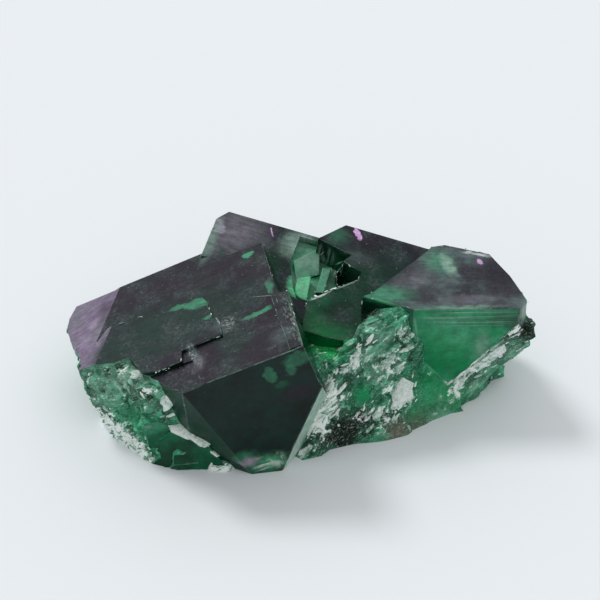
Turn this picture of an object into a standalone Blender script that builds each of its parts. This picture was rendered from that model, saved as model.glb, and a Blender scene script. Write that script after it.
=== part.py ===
"""Cluster of intergrown fluorite cubes on a broken base: one solid, 60 mm long, resting on a flat face.

Metres, +Z up. The origin is the middle of the footprint box, on the surface the cluster rests on. +X runs
along the cluster's length and the show side faces -Y.

Each crystal is drawn in its own axes, in millimetres: a to the right and b to the back in its top face, and
n out of that face. Growth steps are jogs in a crystal's outline or plates on its top. Cleavage breaks are flat
cutters, and the broken mass under the crystals has chipped sides.
"""

import math

import bmesh
import bpy
from mathutils import Matrix, Vector, noise

MM = 0.001  # every size below is in millimetres
NODE = "fluorite_cluster"
REACH = 60.0  # runs clear past the cluster, for cutters
CENTRE_SHIFT = (0.8, 1.1)  # moves the middle of the footprint box onto the origin

FLUORITE_GREEN = (0.011, 0.058, 0.043)  # linear red, green and blue
FLUORITE_GLOSS = 0.12  # roughness of its cube and cleavage faces

# A crystal's turn: yaw about +Z, then the pitch that lifts its right end and the roll that lifts its back edge.
MAIN_TURN = (10.4, 18.6, -2.5)
TWIN_TURN = (-13.7, -9.9, 10.9)  # the middle and back cubes are steps of one crystal
RIGHT_TURN = (0.0, 0.0, 0.0)
REAR_TURN = (26.0, 5.0, -9.0)
REAR_RIGHT_TURN = (-30.0, 9.0, -7.0)

# The point that each crystal's outline is measured from, at the height of its top face.
MAIN_CORNER = (-0.1, -16.95, 19.0)
TWIN_CORNER = (-0.25, -7.27, 13.97)
RIGHT_CORNER = (0.0, 0.0, 15.3)
REAR_CORNER = (-17.0, 9.6, 7.4)
REAR_RIGHT_CORNER = (12.2, 9.8, 7.6)

CRYSTAL_DEPTH = 19.0  # how far the large crystals reach down from their top faces
REAR_DEPTH = 7.5
BACK_LEVEL = -3.24  # top of the back step, under the top of the twin crystal
PIT_LEVEL = -4.3  # floor of the broken hollow in the back step
PLATE = 0.4  # height of a growth plate on the main crystal
SKIN = 0.35  # how far the broken mass stays under the main crystal's top face

# The broken mass, as level rings at rising heights, anticlockwise from its left end.
BASE_RINGS = (
    (-2.0, ((-26.0, -6.0), (-24.6, -11.8), (-21.6, -15.2), (-18.8, -16.9), (-14.8, -18.0), (-9.0, -18.0),
            (-4.0, -14.6), (-0.4, -15.2), (3.4, -14.8), (9.6, -12.5), (16.1, -9.7), (21.5, -5.8), (25.3, -0.8),
            (23.5, 7.0), (14.0, 12.5), (2.0, 13.6), (-10.0, 13.6), (-21.0, 10.0), (-28.4, 2.0))),
    (-0.2, ((-26.0, -6.0), (-24.6, -11.8), (-21.8, -15.3), (-19.0, -16.9), (-14.8, -18.0), (-9.0, -18.0),
           (-4.0, -14.6), (-0.4, -15.2), (3.4, -14.8), (9.6, -12.5), (16.1, -9.7), (21.5, -5.8), (25.3, -0.8),
           (23.5, 7.0), (14.0, 12.5), (2.0, 13.6), (-10.0, 13.6), (-21.0, 10.0), (-28.4, 2.0))),
    (3.5, ((-27.4, -6.0), (-26.0, -11.5), (-22.8, -14.3), (-19.4, -16.2), (-15.6, -17.0), (-10.4, -16.6),
           (-3.0, -13.5), (0.9, -14.9), (5.0, -13.2), (10.4, -10.9), (14.8, -8.3), (17.4, -5.9), (25.8, -2.2),
           (24.2, 7.6), (15.0, 12.0), (2.0, 13.2), (-10.0, 13.2), (-22.0, 10.5), (-29.2, 2.0))),
    (6.9, ((-28.4, -5.5), (-27.2, -10.6), (-23.6, -12.9), (-20.4, -14.9), (-16.6, -16.0), (-11.8, -15.8),
           (-2.0, -12.5), (1.7, -14.0), (6.0, -11.4), (10.8, -9.2), (13.9, -6.9), (16.6, -4.2), (27.4, -3.6),
           (26.2, 6.0), (15.5, 11.0), (2.0, 12.0), (-10.0, 11.8), (-22.5, 9.5), (-29.6, 2.2))),
    (9.3, ((-28.8, -5.0), (-28.0, -9.7), (-23.6, -11.8), (-20.4, -14.5), (-17.4, -15.6), (-13.4, -17.4),
           (-2.0, -11.5), (1.9, -12.9), (6.2, -10.2), (10.8, -7.8), (13.8, -6.2), (16.4, -4.4), (28.6, -3.9),
           (26.6, 5.0), (15.0, 9.0), (2.0, 10.0), (-10.0, 9.5), (-21.5, 7.5), (-29.0, 1.8))),
    (11.4, ((-28.0, -5.5), (-26.0, -10.4), (-22.4, -11.3), (-19.8, -14.6), (-17.4, -16.3), (-14.4, -18.2),
            (-2.0, -11.0), (2.0, -12.0), (5.6, -9.3), (9.4, -7.2), (13.5, -5.8), (15.4, -4.4), (28.9, -3.3),
            (26.0, 4.0), (15.0, 6.0), (2.0, 7.0), (-10.0, 7.5), (-19.0, 5.0), (-26.5, 0.5))),
)
BASE_GIRTH = 150.0  # length of its longest ring
BASE_CELL = 1.35  # side of its facets

# Broken surfaces carry flat chips, each tilted its own way, on a slow swell.
CHIP = 4.6  # distance between chips
CHIP_TILT = 0.26  # how steeply they lean
CHIP_SPREAD = 7.0  # keeps neighbouring chips from leaning alike
SWELL = 9.0
SWELL_HEIGHT = 0.5
SHOULDER_CUTS = 3  # cuts in each edge of the shoulder, so that it can carry chips


def turned(turn):
    """Rotation from a crystal's axes to the world's."""
    yaw, pitch, roll = (math.radians(angle) for angle in turn)
    return Matrix.Rotation(yaw, 3, "Z") @ Matrix.Rotation(-pitch, 3, "Y") @ Matrix.Rotation(roll, 3, "X")


def placed(corner, turn):
    """Matrix from a crystal's axes, in millimetres, to the world, in metres."""
    shift = Vector((*CENTRE_SHIFT, 0.0))
    return Matrix.Translation((Vector(corner) + shift) * MM) @ turned(turn).to_4x4() @ Matrix.Scale(MM, 4)


WORLD = placed((0, 0, 0), (0, 0, 0))
MAIN = placed(MAIN_CORNER, MAIN_TURN)
TWIN = placed(TWIN_CORNER, TWIN_TURN)
RIGHT = placed(RIGHT_CORNER, RIGHT_TURN)
REAR = placed(REAR_CORNER, REAR_TURN)
REAR_RIGHT = placed(REAR_RIGHT_CORNER, REAR_RIGHT_TURN)


def fluorite():
    """Dark green fluorite, glossy on its cube and cleavage faces."""
    material = bpy.data.materials.new("fluorite")
    material.use_nodes = True
    shader = material.node_tree.nodes["Principled BSDF"]
    shader.inputs["Base Color"].default_value = (*FLUORITE_GREEN, 1.0)
    shader.inputs["Roughness"].default_value = FLUORITE_GLOSS
    shader.inputs["Metallic"].default_value = 0.0
    shader.inputs["IOR"].default_value = 1.434
    return material


def new_object(name, bm, place, is_node=False):
    """The mesh as an object. All but the node itself are cutters or pieces to join to it."""
    bmesh.ops.recalc_face_normals(bm, faces=bm.faces[:])
    bm.transform(place)
    mesh = bpy.data.meshes.new(name)
    bm.to_mesh(mesh)
    bm.free()
    obj = bpy.data.objects.new(name, mesh)
    bpy.context.scene.collection.objects.link(obj)
    if not is_node:
        obj.hide_render = True
        obj.display_type = "WIRE"
    return obj


def prism(name, place, outline, low, high):
    """The solid with that outline in a and b, from n = low to n = high."""
    bm = bmesh.new()
    lower = bm.faces.new([bm.verts.new((a, b, low)) for a, b in outline])
    raised = bmesh.ops.extrude_face_region(bm, geom=[lower], use_keep_orig=True)["geom"]
    corners = [part for part in raised if isinstance(part, bmesh.types.BMVert)]
    bmesh.ops.translate(bm, vec=(0, 0, high - low), verts=corners)
    return new_object(name, bm, place)


def hull(name, place, points, cuts=0):
    """The convex solid around the points. With cuts in its edges, it carries chips."""
    bm = bmesh.new()
    for point in points:
        bm.verts.new(point)
    bmesh.ops.convex_hull(bm, input=bm.verts[:])
    if cuts:
        bmesh.ops.subdivide_edges(bm, edges=bm.edges[:], cuts=cuts, use_grid_fill=True)
        bmesh.ops.triangulate(bm, faces=bm.faces[:])
        bm.normal_update()
        raised = {vert: vert.co + vert.normal * chip_height(vert.co) for vert in bm.verts}
        for vert, point in raised.items():
            vert.co = point
    return new_object(name, bm, place)


def half_space(name, place, points):
    """The space outside the plane through three points, which run anticlockwise as seen from outside."""
    p, q, r = (Vector(point) for point in points)
    out = (q - p).cross(r - p).normalized()
    side = (q - p).normalized() * REACH
    up = out.cross(side)
    corners = [p + x * side + y * up for x in (-1, 1) for y in (-1, 1)]
    return hull(name, place, corners + [corner + out * REACH for corner in corners])


def chip_height(point):
    """How far the broken surface stands out there, in millimetres."""
    _, centres = noise.voronoi(point / CHIP)
    lean = noise.cell_vector(centres[0] * CHIP_SPREAD) - Vector((0.5, 0.5, 0.5))
    chip = 2.0 * CHIP_TILT * lean.dot(point - centres[0] * CHIP)
    return chip + SWELL_HEIGHT * noise.noise(point / SWELL)


def spread(ring, height, count):
    """The closed ring as that many evenly spaced points."""
    corners = [Vector((*p, height)) for p in ring]
    corners.append(corners[0])
    spans = [(q - p).length for p, q in zip(corners, corners[1:])]
    points = []
    span, passed = 0, 0.0
    for k in range(count):
        along = sum(spans) * k / count
        while along > passed + spans[span]:
            passed += spans[span]
            span += 1
        points.append(corners[span].lerp(corners[span + 1], (along - passed) / spans[span]))
    return points


def base_mass():
    """The broken mass that the crystals stand in, with chipped sides and a flat underside to trim."""
    count = round(BASE_GIRTH / BASE_CELL)
    levels = [spread(ring, height, count) for height, ring in BASE_RINGS]
    bm = bmesh.new()
    loops = []
    for lower, upper in zip(levels, levels[1:]):
        rows = max(1, round((upper[0].z - lower[0].z) / BASE_CELL))
        for row in range(rows):
            loops.append([bm.verts.new(p.lerp(q, row / rows)) for p, q in zip(lower, upper)])
    loops.append([bm.verts.new(p) for p in levels[-1]])
    for lower, upper in zip(loops, loops[1:]):
        for i in range(count):
            j = (i + 1) % count
            bm.faces.new((lower[i], lower[j], upper[j], upper[i]))
    for vert in bm.verts:
        vert.co += Vector((*vert.co.xy, 0.0)).normalized() * chip_height(vert.co)
    bm.faces.new(loops[0][::-1])
    bm.faces.new(loops[-1])
    bmesh.ops.triangulate(bm, faces=bm.faces[:])
    return new_object(NODE, bm, WORLD, is_node=True)


def combine(target, other, operation):
    """Joins the other object to the target, or cuts it away."""
    modifier = target.modifiers.new(f"{operation.lower()} {other.name}", "BOOLEAN")
    modifier.operation = operation
    modifier.object = other
    modifier.solver = "EXACT"


def main_crystal():
    """The largest cube. Its left end dips, its back and right edges step, and cleavage cut three corners."""
    cube = prism("main_cube", MAIN, (
        (-15.6, 0.0), (0.0, 0.0), (0.0, 11.7), (-1.35, 11.9), (-1.5, 23.4), (-6.8, 23.5), (-6.9, 26.0),
        (-21.7, 25.4), (-27.6, 27.4), (-28.8, 25.4), (-29.2, 22.6), (-28.6, 18.4), (-27.6, 14.4),
        (-27.6, 12.4), (-23.2, 9.8), (-21.1, 9.9), (-19.8, 6.0), (-18.2, 4.1)), -CRYSTAL_DEPTH, 0.0)
    wing_slope = half_space("wing_slope", MAIN, ((-25.8, 14.4, 0.0), (-21.3, 24.6, 0.0), (-34.0, 18.0, -2.25)))
    corner = half_space("corner_cleavage", MAIN, ((-0.4, 0.0, -7.3), (-8.3, 0.0, -16.7), (1.6, 2.0, -7.3)))
    left = half_space("left_cleavage", MAIN, ((-15.4, 0.0, -1.0), (-19.2, 3.1, -1.2), (-12.8, 0.0, -13.5)))
    plate = prism("main_plate", MAIN, (
        (-28.0, 12.0), (-23.2, 9.9), (-21.2, 9.8), (-19.8, 6.0), (-18.1, 5.2), (-14.7, 5.3), (-14.6, 7.2),
        (-9.2, 7.5), (-9.1, 11.0), (-9.9, 11.2), (-10.2, 15.2), (-10.8, 16.9), (-15.3, 17.4), (-18.5, 17.0),
        (-23.4, 17.4), (-25.3, 15.4)), -2.0, PLATE)
    rib = prism("main_rib", MAIN, (
        (-1.7, 0.3), (-0.2, 0.25), (-0.25, 11.4), (-2.2, 11.3), (-2.0, 6.5)), -2.0, 0.3 * PLATE)
    strip = prism("main_low_strip", MAIN, (
        (-19.0, -2.0), (-12.7, -2.0), (-13.5, 1.5), (-13.4, 5.25), (-19.0, 5.15)), -0.6 * PLATE, 3.0)
    combine(cube, plate, "UNION")
    combine(cube, rib, "UNION")
    for cutter in (wing_slope, corner, left, strip):
        combine(cube, cutter, "DIFFERENCE")
    return cube


def above_main():
    """The space over the main crystal's top face, kept clear of the broken mass."""
    top = prism("above_main", MAIN, ((-40.0, -8.0), (-0.5, -8.0), (-0.5, 25.5), (-40.0, 25.5)), -SKIN, 20.0)
    wing = half_space("above_wing", MAIN, (
        (-25.8, 14.4, -SKIN), (-21.3, 24.6, -SKIN), (-34.0, 18.0, -2.25 - SKIN)))
    return top, wing


def foot():
    """The flat cleavage facet low on the left, as a wedge that leans on the broken mass."""
    return hull("foot", WORLD, (
        (-20.2, -15.8, 0.8), (-17.3, -17.6, 0.0), (-9.5, -18.0, 0.0), (-12.2, -17.5, 4.2), (-16.5, -16.7, 5.0),
        (-20.2, -15.8, -1.4), (-17.3, -17.6, -1.4), (-9.5, -18.0, -1.4), (-10.0, -12.0, -1.4),
        (-18.0, -12.0, -1.4), (-14.0, -12.0, 4.5)))


def shoulder():
    """The broken slope carried up to the edges of the middle and right crystals."""
    return hull("shoulder", WORLD, (
        (2.6, -11.5, 11.0), (5.6, -9.6, 10.6), (9.4, -7.6, 10.6), (13.2, -6.2, 10.6), (14.2, -5.0, 10.6),
        (5.2, -8.9, 12.7), (7.2, -7.3, 13.2), (10.2, -5.0, 14.1), (13.5, -5.2, 14.9), (14.4, -4.0, 14.9),
        (6.0, -4.0, 10.6), (9.0, -3.0, 13.6), (14.0, -3.0, 10.6)), SHOULDER_CUTS)


def twin_crystal():
    """Two steps of one cube behind the main crystal, and a lower ledge at its right."""
    front = prism("middle_cube", TWIN, (
        (0.0, -0.25), (3.0, -0.3), (5.4, 0.0), (6.6, 0.8), (7.2, 1.9), (6.0, 6.4), (6.0, 7.9), (17.0, 7.9),
        (17.0, 18.4), (0.9, 18.45), (-0.9, 16.2), (-2.0, 15.0), (2.9, 13.8), (2.1, 12.4), (4.8, 11.5),
        (4.8, 10.3), (-0.6, 4.5)), -CRYSTAL_DEPTH, 0.0)
    ledge = prism("middle_ledge", TWIN, ((4.0, 2.2), (12.0, 2.2), (12.0, 9.0), (4.0, 9.0)), -CRYSTAL_DEPTH, -0.9)
    combine(front, ledge, "UNION")
    return front


def back_step():
    """The lower step, whose right half broke into a hollow with small cleavage facets."""
    step = prism("back_cube", TWIN, (
        (-15.8, 9.4), (-14.2, 9.6), (-11.0, 1.0), (2.0, 1.0), (2.0, 18.0), (-14.5, 18.0), (-15.8, 16.1)),
        -CRYSTAL_DEPTH, BACK_LEVEL)
    hollow = prism("hollow", TWIN, (
        (-4.6, 17.2), (-4.7, 12.5), (-3.1, 8.3), (-2.2, 6.9), (6.0, 6.9), (6.0, 16.0), (0.0, 17.2)),
        PIT_LEVEL, 3.0)
    combine(step, hollow, "DIFFERENCE")
    return step


def hollow_facets():
    """Cleavage splinters that stand in the hollow."""
    leaf = hull("leaf_facet", TWIN, (
        (-4.3, 13.0, -3.3), (-1.6, 15.8, -2.7), (-0.6, 12.4, -3.8), (-3.1, 10.5, -4.2),
        (-4.3, 13.0, -6.0), (-1.6, 15.8, -6.0), (-0.6, 12.4, -6.0), (-3.1, 10.5, -6.0)))
    block = hull("block_facet", TWIN, (
        (-3.1, 10.4, -3.5), (-1.4, 11.1, -2.9), (-0.9, 7.0, -3.4), (-2.9, 8.2, -4.1),
        (-3.1, 10.4, -6.0), (-1.4, 11.1, -6.0), (-0.9, 7.0, -6.0), (-2.9, 8.2, -6.0)))
    column = prism("column_facet", TWIN, ((-0.2, 8.8), (0.8, 9.0), (0.7, 13.3), (-0.4, 13.1)), -6.0, -3.2)
    spur = hull("spur_facet", TWIN, (
        (1.5, 12.4, -2.6), (2.5, 15.0, -1.8), (3.4, 13.0, -3.6), (2.2, 10.8, -3.9),
        (1.5, 12.4, -6.0), (2.5, 15.0, -6.0), (3.4, 13.0, -6.0), (2.2, 10.8, -6.0)))
    return leaf, block, column, spur


def right_crystal():
    """The level cube at the right, whose lower right side broke away."""
    cube = prism("right_cube", RIGHT, (
        (7.3, -2.5), (13.7, -5.3), (26.9, -5.0), (28.0, -3.3), (26.4, 1.4), (24.8, 4.6), (24.0, 6.3),
        (18.3, 8.3), (16.6, 7.9), (16.1, 7.2), (8.6, -1.9)), -CRYSTAL_DEPTH, 0.0)
    break_plane = half_space("right_break", WORLD, ((19.0, -5.2, 3.6), (25.3, -0.8, 0.0), (27.0, -5.2, 13.6)))
    combine(cube, break_plane, "DIFFERENCE")
    return cube


def rear_crystals():
    """Corners of small cubes in the back of the broken mass."""
    left = prism("rear_cube", REAR, ((-5.0, -4.6), (5.0, -4.6), (5.0, 4.6), (-5.0, 4.6)), -REAR_DEPTH, 0.0)
    right = prism("rear_right_cube", REAR_RIGHT, ((-4.4, -4.4), (4.4, -4.4), (4.4, 4.4), (-4.4, 4.4)),
                  -REAR_DEPTH, 0.0)
    return left, right


def build():
    for obj in list(bpy.data.objects):
        bpy.data.objects.remove(obj)
    cluster = base_mass()
    cluster.data.materials.append(fluorite())
    combine(cluster, foot(), "UNION")
    combine(cluster, shoulder(), "UNION")
    for air in above_main():
        combine(cluster, air, "DIFFERENCE")
    crystals = (main_crystal(), back_step(), *hollow_facets(), twin_crystal(), right_crystal())
    for crystal in (*crystals, *rear_crystals()):
        combine(cluster, crystal, "UNION")
    ground = prism("ground", WORLD, (
        (-REACH, -REACH), (REACH, -REACH), (REACH, REACH), (-REACH, REACH)), -REACH, 0.0)
    combine(cluster, ground, "DIFFERENCE")


build()
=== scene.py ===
"""Fluorite cluster, dressed: glassy growth faces, cleavage facets, a splintered base and loose flakes.

Run as a script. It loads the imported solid, makes the crystals from a copy of it, lays loose flakes on their
broken surface, and sets them on a pale table under soft light. Metres, +Z up; the show side faces -Y.
"""

import math

import bmesh
import bpy
import numpy as np
from mathutils import Matrix, Vector, kdtree


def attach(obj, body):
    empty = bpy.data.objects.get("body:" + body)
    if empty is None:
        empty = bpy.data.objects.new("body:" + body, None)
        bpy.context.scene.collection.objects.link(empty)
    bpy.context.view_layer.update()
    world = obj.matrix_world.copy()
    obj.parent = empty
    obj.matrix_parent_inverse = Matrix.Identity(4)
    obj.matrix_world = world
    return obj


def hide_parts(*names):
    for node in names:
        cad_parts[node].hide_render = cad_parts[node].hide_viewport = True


bl_info = {
    "name": "Fluorite Cluster",
    "version": (1, 0, 0),
    "blender": (4, 5, 0),
    "location": "3D View > Sidebar > Fluorite",
    "description": "Dresses a fluorite cluster: growth faces, broken base, flakes and table",
    "category": "Object",
}

MM = 0.001
SOLID = "fluorite_cluster"

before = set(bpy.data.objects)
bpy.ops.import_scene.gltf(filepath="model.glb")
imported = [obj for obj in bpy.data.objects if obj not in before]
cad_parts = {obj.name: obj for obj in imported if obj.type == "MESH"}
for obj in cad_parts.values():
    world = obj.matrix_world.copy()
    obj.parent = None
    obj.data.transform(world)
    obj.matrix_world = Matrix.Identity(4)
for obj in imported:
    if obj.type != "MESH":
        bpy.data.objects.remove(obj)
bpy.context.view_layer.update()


def linear(code):
    """An sRGB hex colour as linear red, green and blue."""
    shares = [int(code[i:i + 2], 16) / 255 for i in (1, 3, 5)]
    return tuple(s / 12.92 if s <= 0.04045 else ((s + 0.055) / 1.055) ** 2.4 for s in shares)


# How each crystal stands: yaw, pitch and roll in degrees, and the point its top face is measured from, in
# millimetres. In a crystal's axes a runs right, b back and n out of the top face.
CRYSTALS = {
    "main": ((10.4, 18.6, -2.5), (0.7, -15.85, 19.0)),
    "twin": ((-13.7, -9.9, 10.9), (0.55, -6.17, 13.97)),
    "right": ((0.0, 0.0, 0.0), (0.8, 1.1, 15.3)),
    "rear": ((26.0, 5.0, -9.0), (-16.2, 10.7, 7.4)),
    "rear_right": ((-30.0, 9.0, -7.0), (13.0, 10.9, 7.6)),
}


def axes_of(crystal):
    """The crystal's axes a, b and n as the columns of a matrix."""
    yaw, pitch, roll = (math.radians(angle) for angle in CRYSTALS[crystal][0])
    return Matrix.Rotation(yaw, 3, "Z") @ Matrix.Rotation(-pitch, 3, "Y") @ Matrix.Rotation(roll, 3, "X")


def corner_of(crystal):
    """The point, in millimetres, that places in the crystal's axes are measured from."""
    return Vector(CRYSTALS[crystal][1])


# The right-hand break splits along the first of these axes, up and to the right.
SPLIT = Matrix.Rotation(math.radians(11), 3, "Z") @ Matrix.Rotation(math.radians(-40), 3, "Y")


def length_setting(name, description, size):
    """A length setting whose default is that many millimetres."""
    return bpy.props.FloatProperty(
        name=name, description=description, default=size * MM, unit="LENGTH")


def angle_setting(name, description, degrees):
    """An angle setting whose default is that many degrees."""
    return bpy.props.FloatProperty(
        name=name, description=description, default=math.radians(degrees), subtype="ANGLE")


def strength_setting(name, description, level):
    """A setting for how strong a light is."""
    return bpy.props.FloatProperty(name=name, description=description, default=level, min=0.0)


def colour_setting(name, description, code):
    """A colour setting whose default is that sRGB hex value."""
    return bpy.props.FloatVectorProperty(
        name=name, description=description, subtype="COLOR", size=3, min=0.0, max=1.0, default=linear(code))


class FluoriteShape(bpy.types.PropertyGroup):
    edge_wear: length_setting("Edge wear", "Width of the worn line along crystal edges", 0.10)
    fracture_cell: length_setting("Fracture mesh", "Longest edge of the broken surface's mesh", 0.25)
    chip_size: length_setting("Chips", "Width of the blocky chips of the broken surface", 2.2)
    chip_height: length_setting("Chip height", "How far the blocky chips stand out", 0.22)
    splinter_size: length_setting("Splinters", "Width of the cleavage splinters", 0.75)
    splinter_height: length_setting("Splinter height", "How far the splinters stand out", 0.13)
    flake_count: bpy.props.IntProperty(
        name="Small flakes", description="How many small loose flakes lie on the broken surface",
        default=760, min=0)


class FluoriteColours(bpy.types.PropertyGroup):
    dusk: colour_setting("Dusk", "Purple-black skin of the cube faces", "#26212d")
    # Near black; also painted shade on the step risers and in the hollow.
    night: colour_setting("Night", "Near-black depth", "#04170f")
    abyss: colour_setting("Abyss", "Teal-black depth of a big clear cube", "#003028")
    deep: colour_setting("Deep green", "Body colour seen down through a cube", "#0a3d2a")
    slate: colour_setting("Slate green", "Green-grey zones in the skin", "#17352f")
    leaf: colour_setting("Leaf green", "Windows in the skin where the green shows", "#48a57c")
    # Painted light let through the thin right cube from behind; clean breaks use the same green.
    fern: colour_setting("Fern green", "Clean cleavage faces", "#12704a")
    glow: colour_setting("Glow green", "Thin, clear green fluorite", "#149058")
    emerald: colour_setting("Emerald", "Light let through a corner", "#13b45c")
    moss: colour_setting("Moss green", "Broken green fluorite", "#3c9470")
    # Painted reflection of the bright sky on top faces.
    haze: colour_setting("Haze", "Bloom on a top face", "#576566")
    ash: colour_setting("Ash", "Etched grey facet", "#b4c6bd")
    lilac: colour_setting("Lilac", "Lilac growth zone", "#7c6e88")
    petal: colour_setting("Petal", "Pale clouds in the lilac", "#b5a9bd")
    sage: colour_setting("Sage", "Pale grey-green where cracks scatter light", "#8fb3a2")
    bright: colour_setting("Bright green", "Thin clear facet with light behind it", "#62cf96")
    mauve: colour_setting("Mauve", "Lilac-grey bloom", "#77747f")
    blush: colour_setting("Blush", "Pink-lilac streaks", "#edbdf5")
    frost: colour_setting("Frost", "White of shattered fluorite", "#f2faf6")
    # Painted shade for the hollows of the broken surface.
    painted_shade: colour_setting("Gloom", "Dark hollows in the broken surface", "#18281d")
    rust: colour_setting("Rust", "Iron stain near the underside", "#6a665a")
    depths: colour_setting("Depths", "Light that comes through the crystals", "#50d4b5")


class StudioSettings(bpy.types.PropertyGroup):
    table: colour_setting("Table", "The pale table", "#e9edf0")
    room: colour_setting("Room", "The soft light all round", "#f4f5f6")
    sky: strength_setting("Sky", "Strength of the soft light all round", 0.70)
    sky_back: strength_setting("Back sky", "Strength of the light behind the cluster", 0.93)
    key: strength_setting("Key", "Strength of the high soft lamp", 1.2)
    key_size: angle_setting("Key size", "Angle the lamp is seen under", 16)
    elevation: angle_setting("Camera elevation", "Angle the camera looks down at", 38)
    distance: length_setting("Camera distance", "Distance from the aim point to the camera", 255)
    lens: bpy.props.FloatProperty(
        name="Camera lens", description="Focal length in millimetres", default=120.0, unit="CAMERA")


# -------------------------------------------------------------------------------------------- helpers


def only_nothing():
    """Deselects every object, in object mode."""
    if bpy.context.mode != "OBJECT":
        bpy.ops.object.mode_set(mode="OBJECT")
    bpy.ops.object.select_all(action="DESELECT")


def only(obj):
    """Selects that object alone and makes it active."""
    only_nothing()
    bpy.context.view_layer.objects.active = obj
    obj.select_set(True)


def edit_all(obj):
    """Goes into edit mode on that object alone, with all of it selected."""
    only(obj)
    bpy.ops.object.mode_set(mode="EDIT")
    bpy.ops.mesh.select_all(action="SELECT")


def read(items, name, width=3, kind=np.float32):
    """One property of all the items, as an array with a row for each."""
    values = np.empty(len(items) * width, kind)
    items.foreach_get(name, values)
    return values.reshape(-1, width) if width > 1 else values


def store(mesh, name, kind, domain, values):
    """Adds an attribute of that kind to the points, faces or corners, with these values."""
    field = {"FLOAT_COLOR": "color", "FLOAT_VECTOR": "vector"}.get(kind, "value")
    values = np.asarray(values, np.int32 if kind == "INT" else np.float32)
    mesh.attributes.new(name, kind, domain).data.foreach_set(field, values.ravel())


def points_of(mesh):
    """The mesh's points in millimetres."""
    return read(mesh.vertices, "co") / MM


def zone_values(piece):
    """The number of each face's zone."""
    return read(piece.data.attributes["zone"].data, "value", 1, np.int32)


def spot_sum(points, spots):
    """How strongly each point lies in the spots, 0 to 1."""
    total = np.zeros(len(points))
    for place, reach, strength in spots:
        away = np.linalg.norm(points - np.array(place), axis=1) / reach
        total += strength * np.exp(-away * away)
    return np.clip(total, 0, 1)


def clear_material(name):
    """A new material with no nodes yet, and its node tree."""
    material = bpy.data.materials.new(name)
    material.use_nodes = True
    material.node_tree.nodes.clear()
    return material, material.node_tree


# ---------------------------------------------------------------------------------------------- shape

# Tone zones: which crystal and side a face belongs to.
ZONES = ("broken", "main_top", "main_front", "main_side", "wing", "corner", "left_band", "twin_top",
         "twin_side", "hollow", "right_top", "right_front", "right_side", "rear", "foot", "riser",
         "hollow_wall", "underside")
ZONE = {name: i for i, name in enumerate(ZONES)}

# Cleavage and growth planes that lie on no crystal's axes, by their outward normals.
SLANTED = {
    "wing": ((-0.535, 0.044, 0.843),),
    "corner": ((0.832, -0.487, -0.265),),
    "left_band": ((-0.410, -0.865, -0.289), (-0.698, -0.672, -0.248)),
    "foot": ((0.14, -0.92, 0.37),),
}
ALIGNED = math.cos(math.radians(2.0))  # directions whose product is over this count as the same

# Boxes, each by its lowest and highest corner in millimetres.
FOOT_LOW = Vector((-19.0, -20.0, 0.0))  # around the clear cleavage face at the foot of the left end
FOOT_HIGH = Vector((-7.0, -14.0, 5.5))
PLATE_LOW = Vector((-21.0, 1.5, -1.0))  # around the steps of the big cube's top, in its own axes
PLATE_HIGH = Vector((-1.0, 24.0, 0.39))
HOLLOW_LOW = Vector((-5.2, 6.6, -6.1))  # around the hollow in the back step, in the twin's axes
HOLLOW_HIGH = Vector((3.6, 17.6, -1.2))

# What else tells a face's zone: the place of its middle, in millimetres, and the parts of its normal.
TABLE_HEIGHT = 0.05  # the underside is no higher
RIGHT_TOP_HEIGHT = 14.0  # the right cube's top is no lower
WALL_HEIGHT = 9.0  # a side wall that is turned a little out of line is higher
WALL_LEFT = -16  # and lies right of this x
FOOT_FRONT = -0.85  # y of a foot face's normal is less
HOLLOW_FRONT = -0.6  # y of the normal of the hollow's back wall is less
RISER_SLOPE = 0.05  # n of a step riser's normal is less, either way
WALL_SLOPE = 0.012  # n of such a side wall's normal is less, either way

# A face this small, in square millimetres, is broken if more than that share of its outline is on the break.
SMALL_FACE, SMALL_SHARE = 4, 0.55
TINY_FACE, TINY_SHARE = 1.1, 0.4

SHORTEST_WORN = 1.2  # millimetres: shorter edges keep their sharp line
SHARP_TURN = math.radians(20)  # edges that turn less keep it too
HALVINGS = 9  # rounds of refining, at most
BORDER_FADE, RELIEF_FADE = 0.2, 0.45  # millimetres in from its border that the break moves less
FOOT_LINE = 0.3  # millimetres: below this the border of the break moves with it
LOWEST = 0.02  # millimetres: how far down chips and flakes may reach
CALMING = 0.7  # how much lower the relief is in a clean or calm spot
REPEAT = 29  # shards before their pattern repeats
CHIP_SEED, LEFT_SEED, RIGHT_SEED = 5, 6, 7
# How far shards are stretched along each of their own axes: chips, and the splinters on either side.
EVEN, LEFT_STRETCH, RIGHT_STRETCH = (1.0, 1.0, 1.0), (1.3, 1.0, 1.0), (2.4, 0.9, 0.9)
SMOOTH_TURN = math.radians(28)  # faces that meet at less are shaded as one


def inside(point, lowest, highest):
    """Whether the point is in that box."""
    return all(low < x < high for low, x, high in zip(lowest, point, highest))


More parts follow.
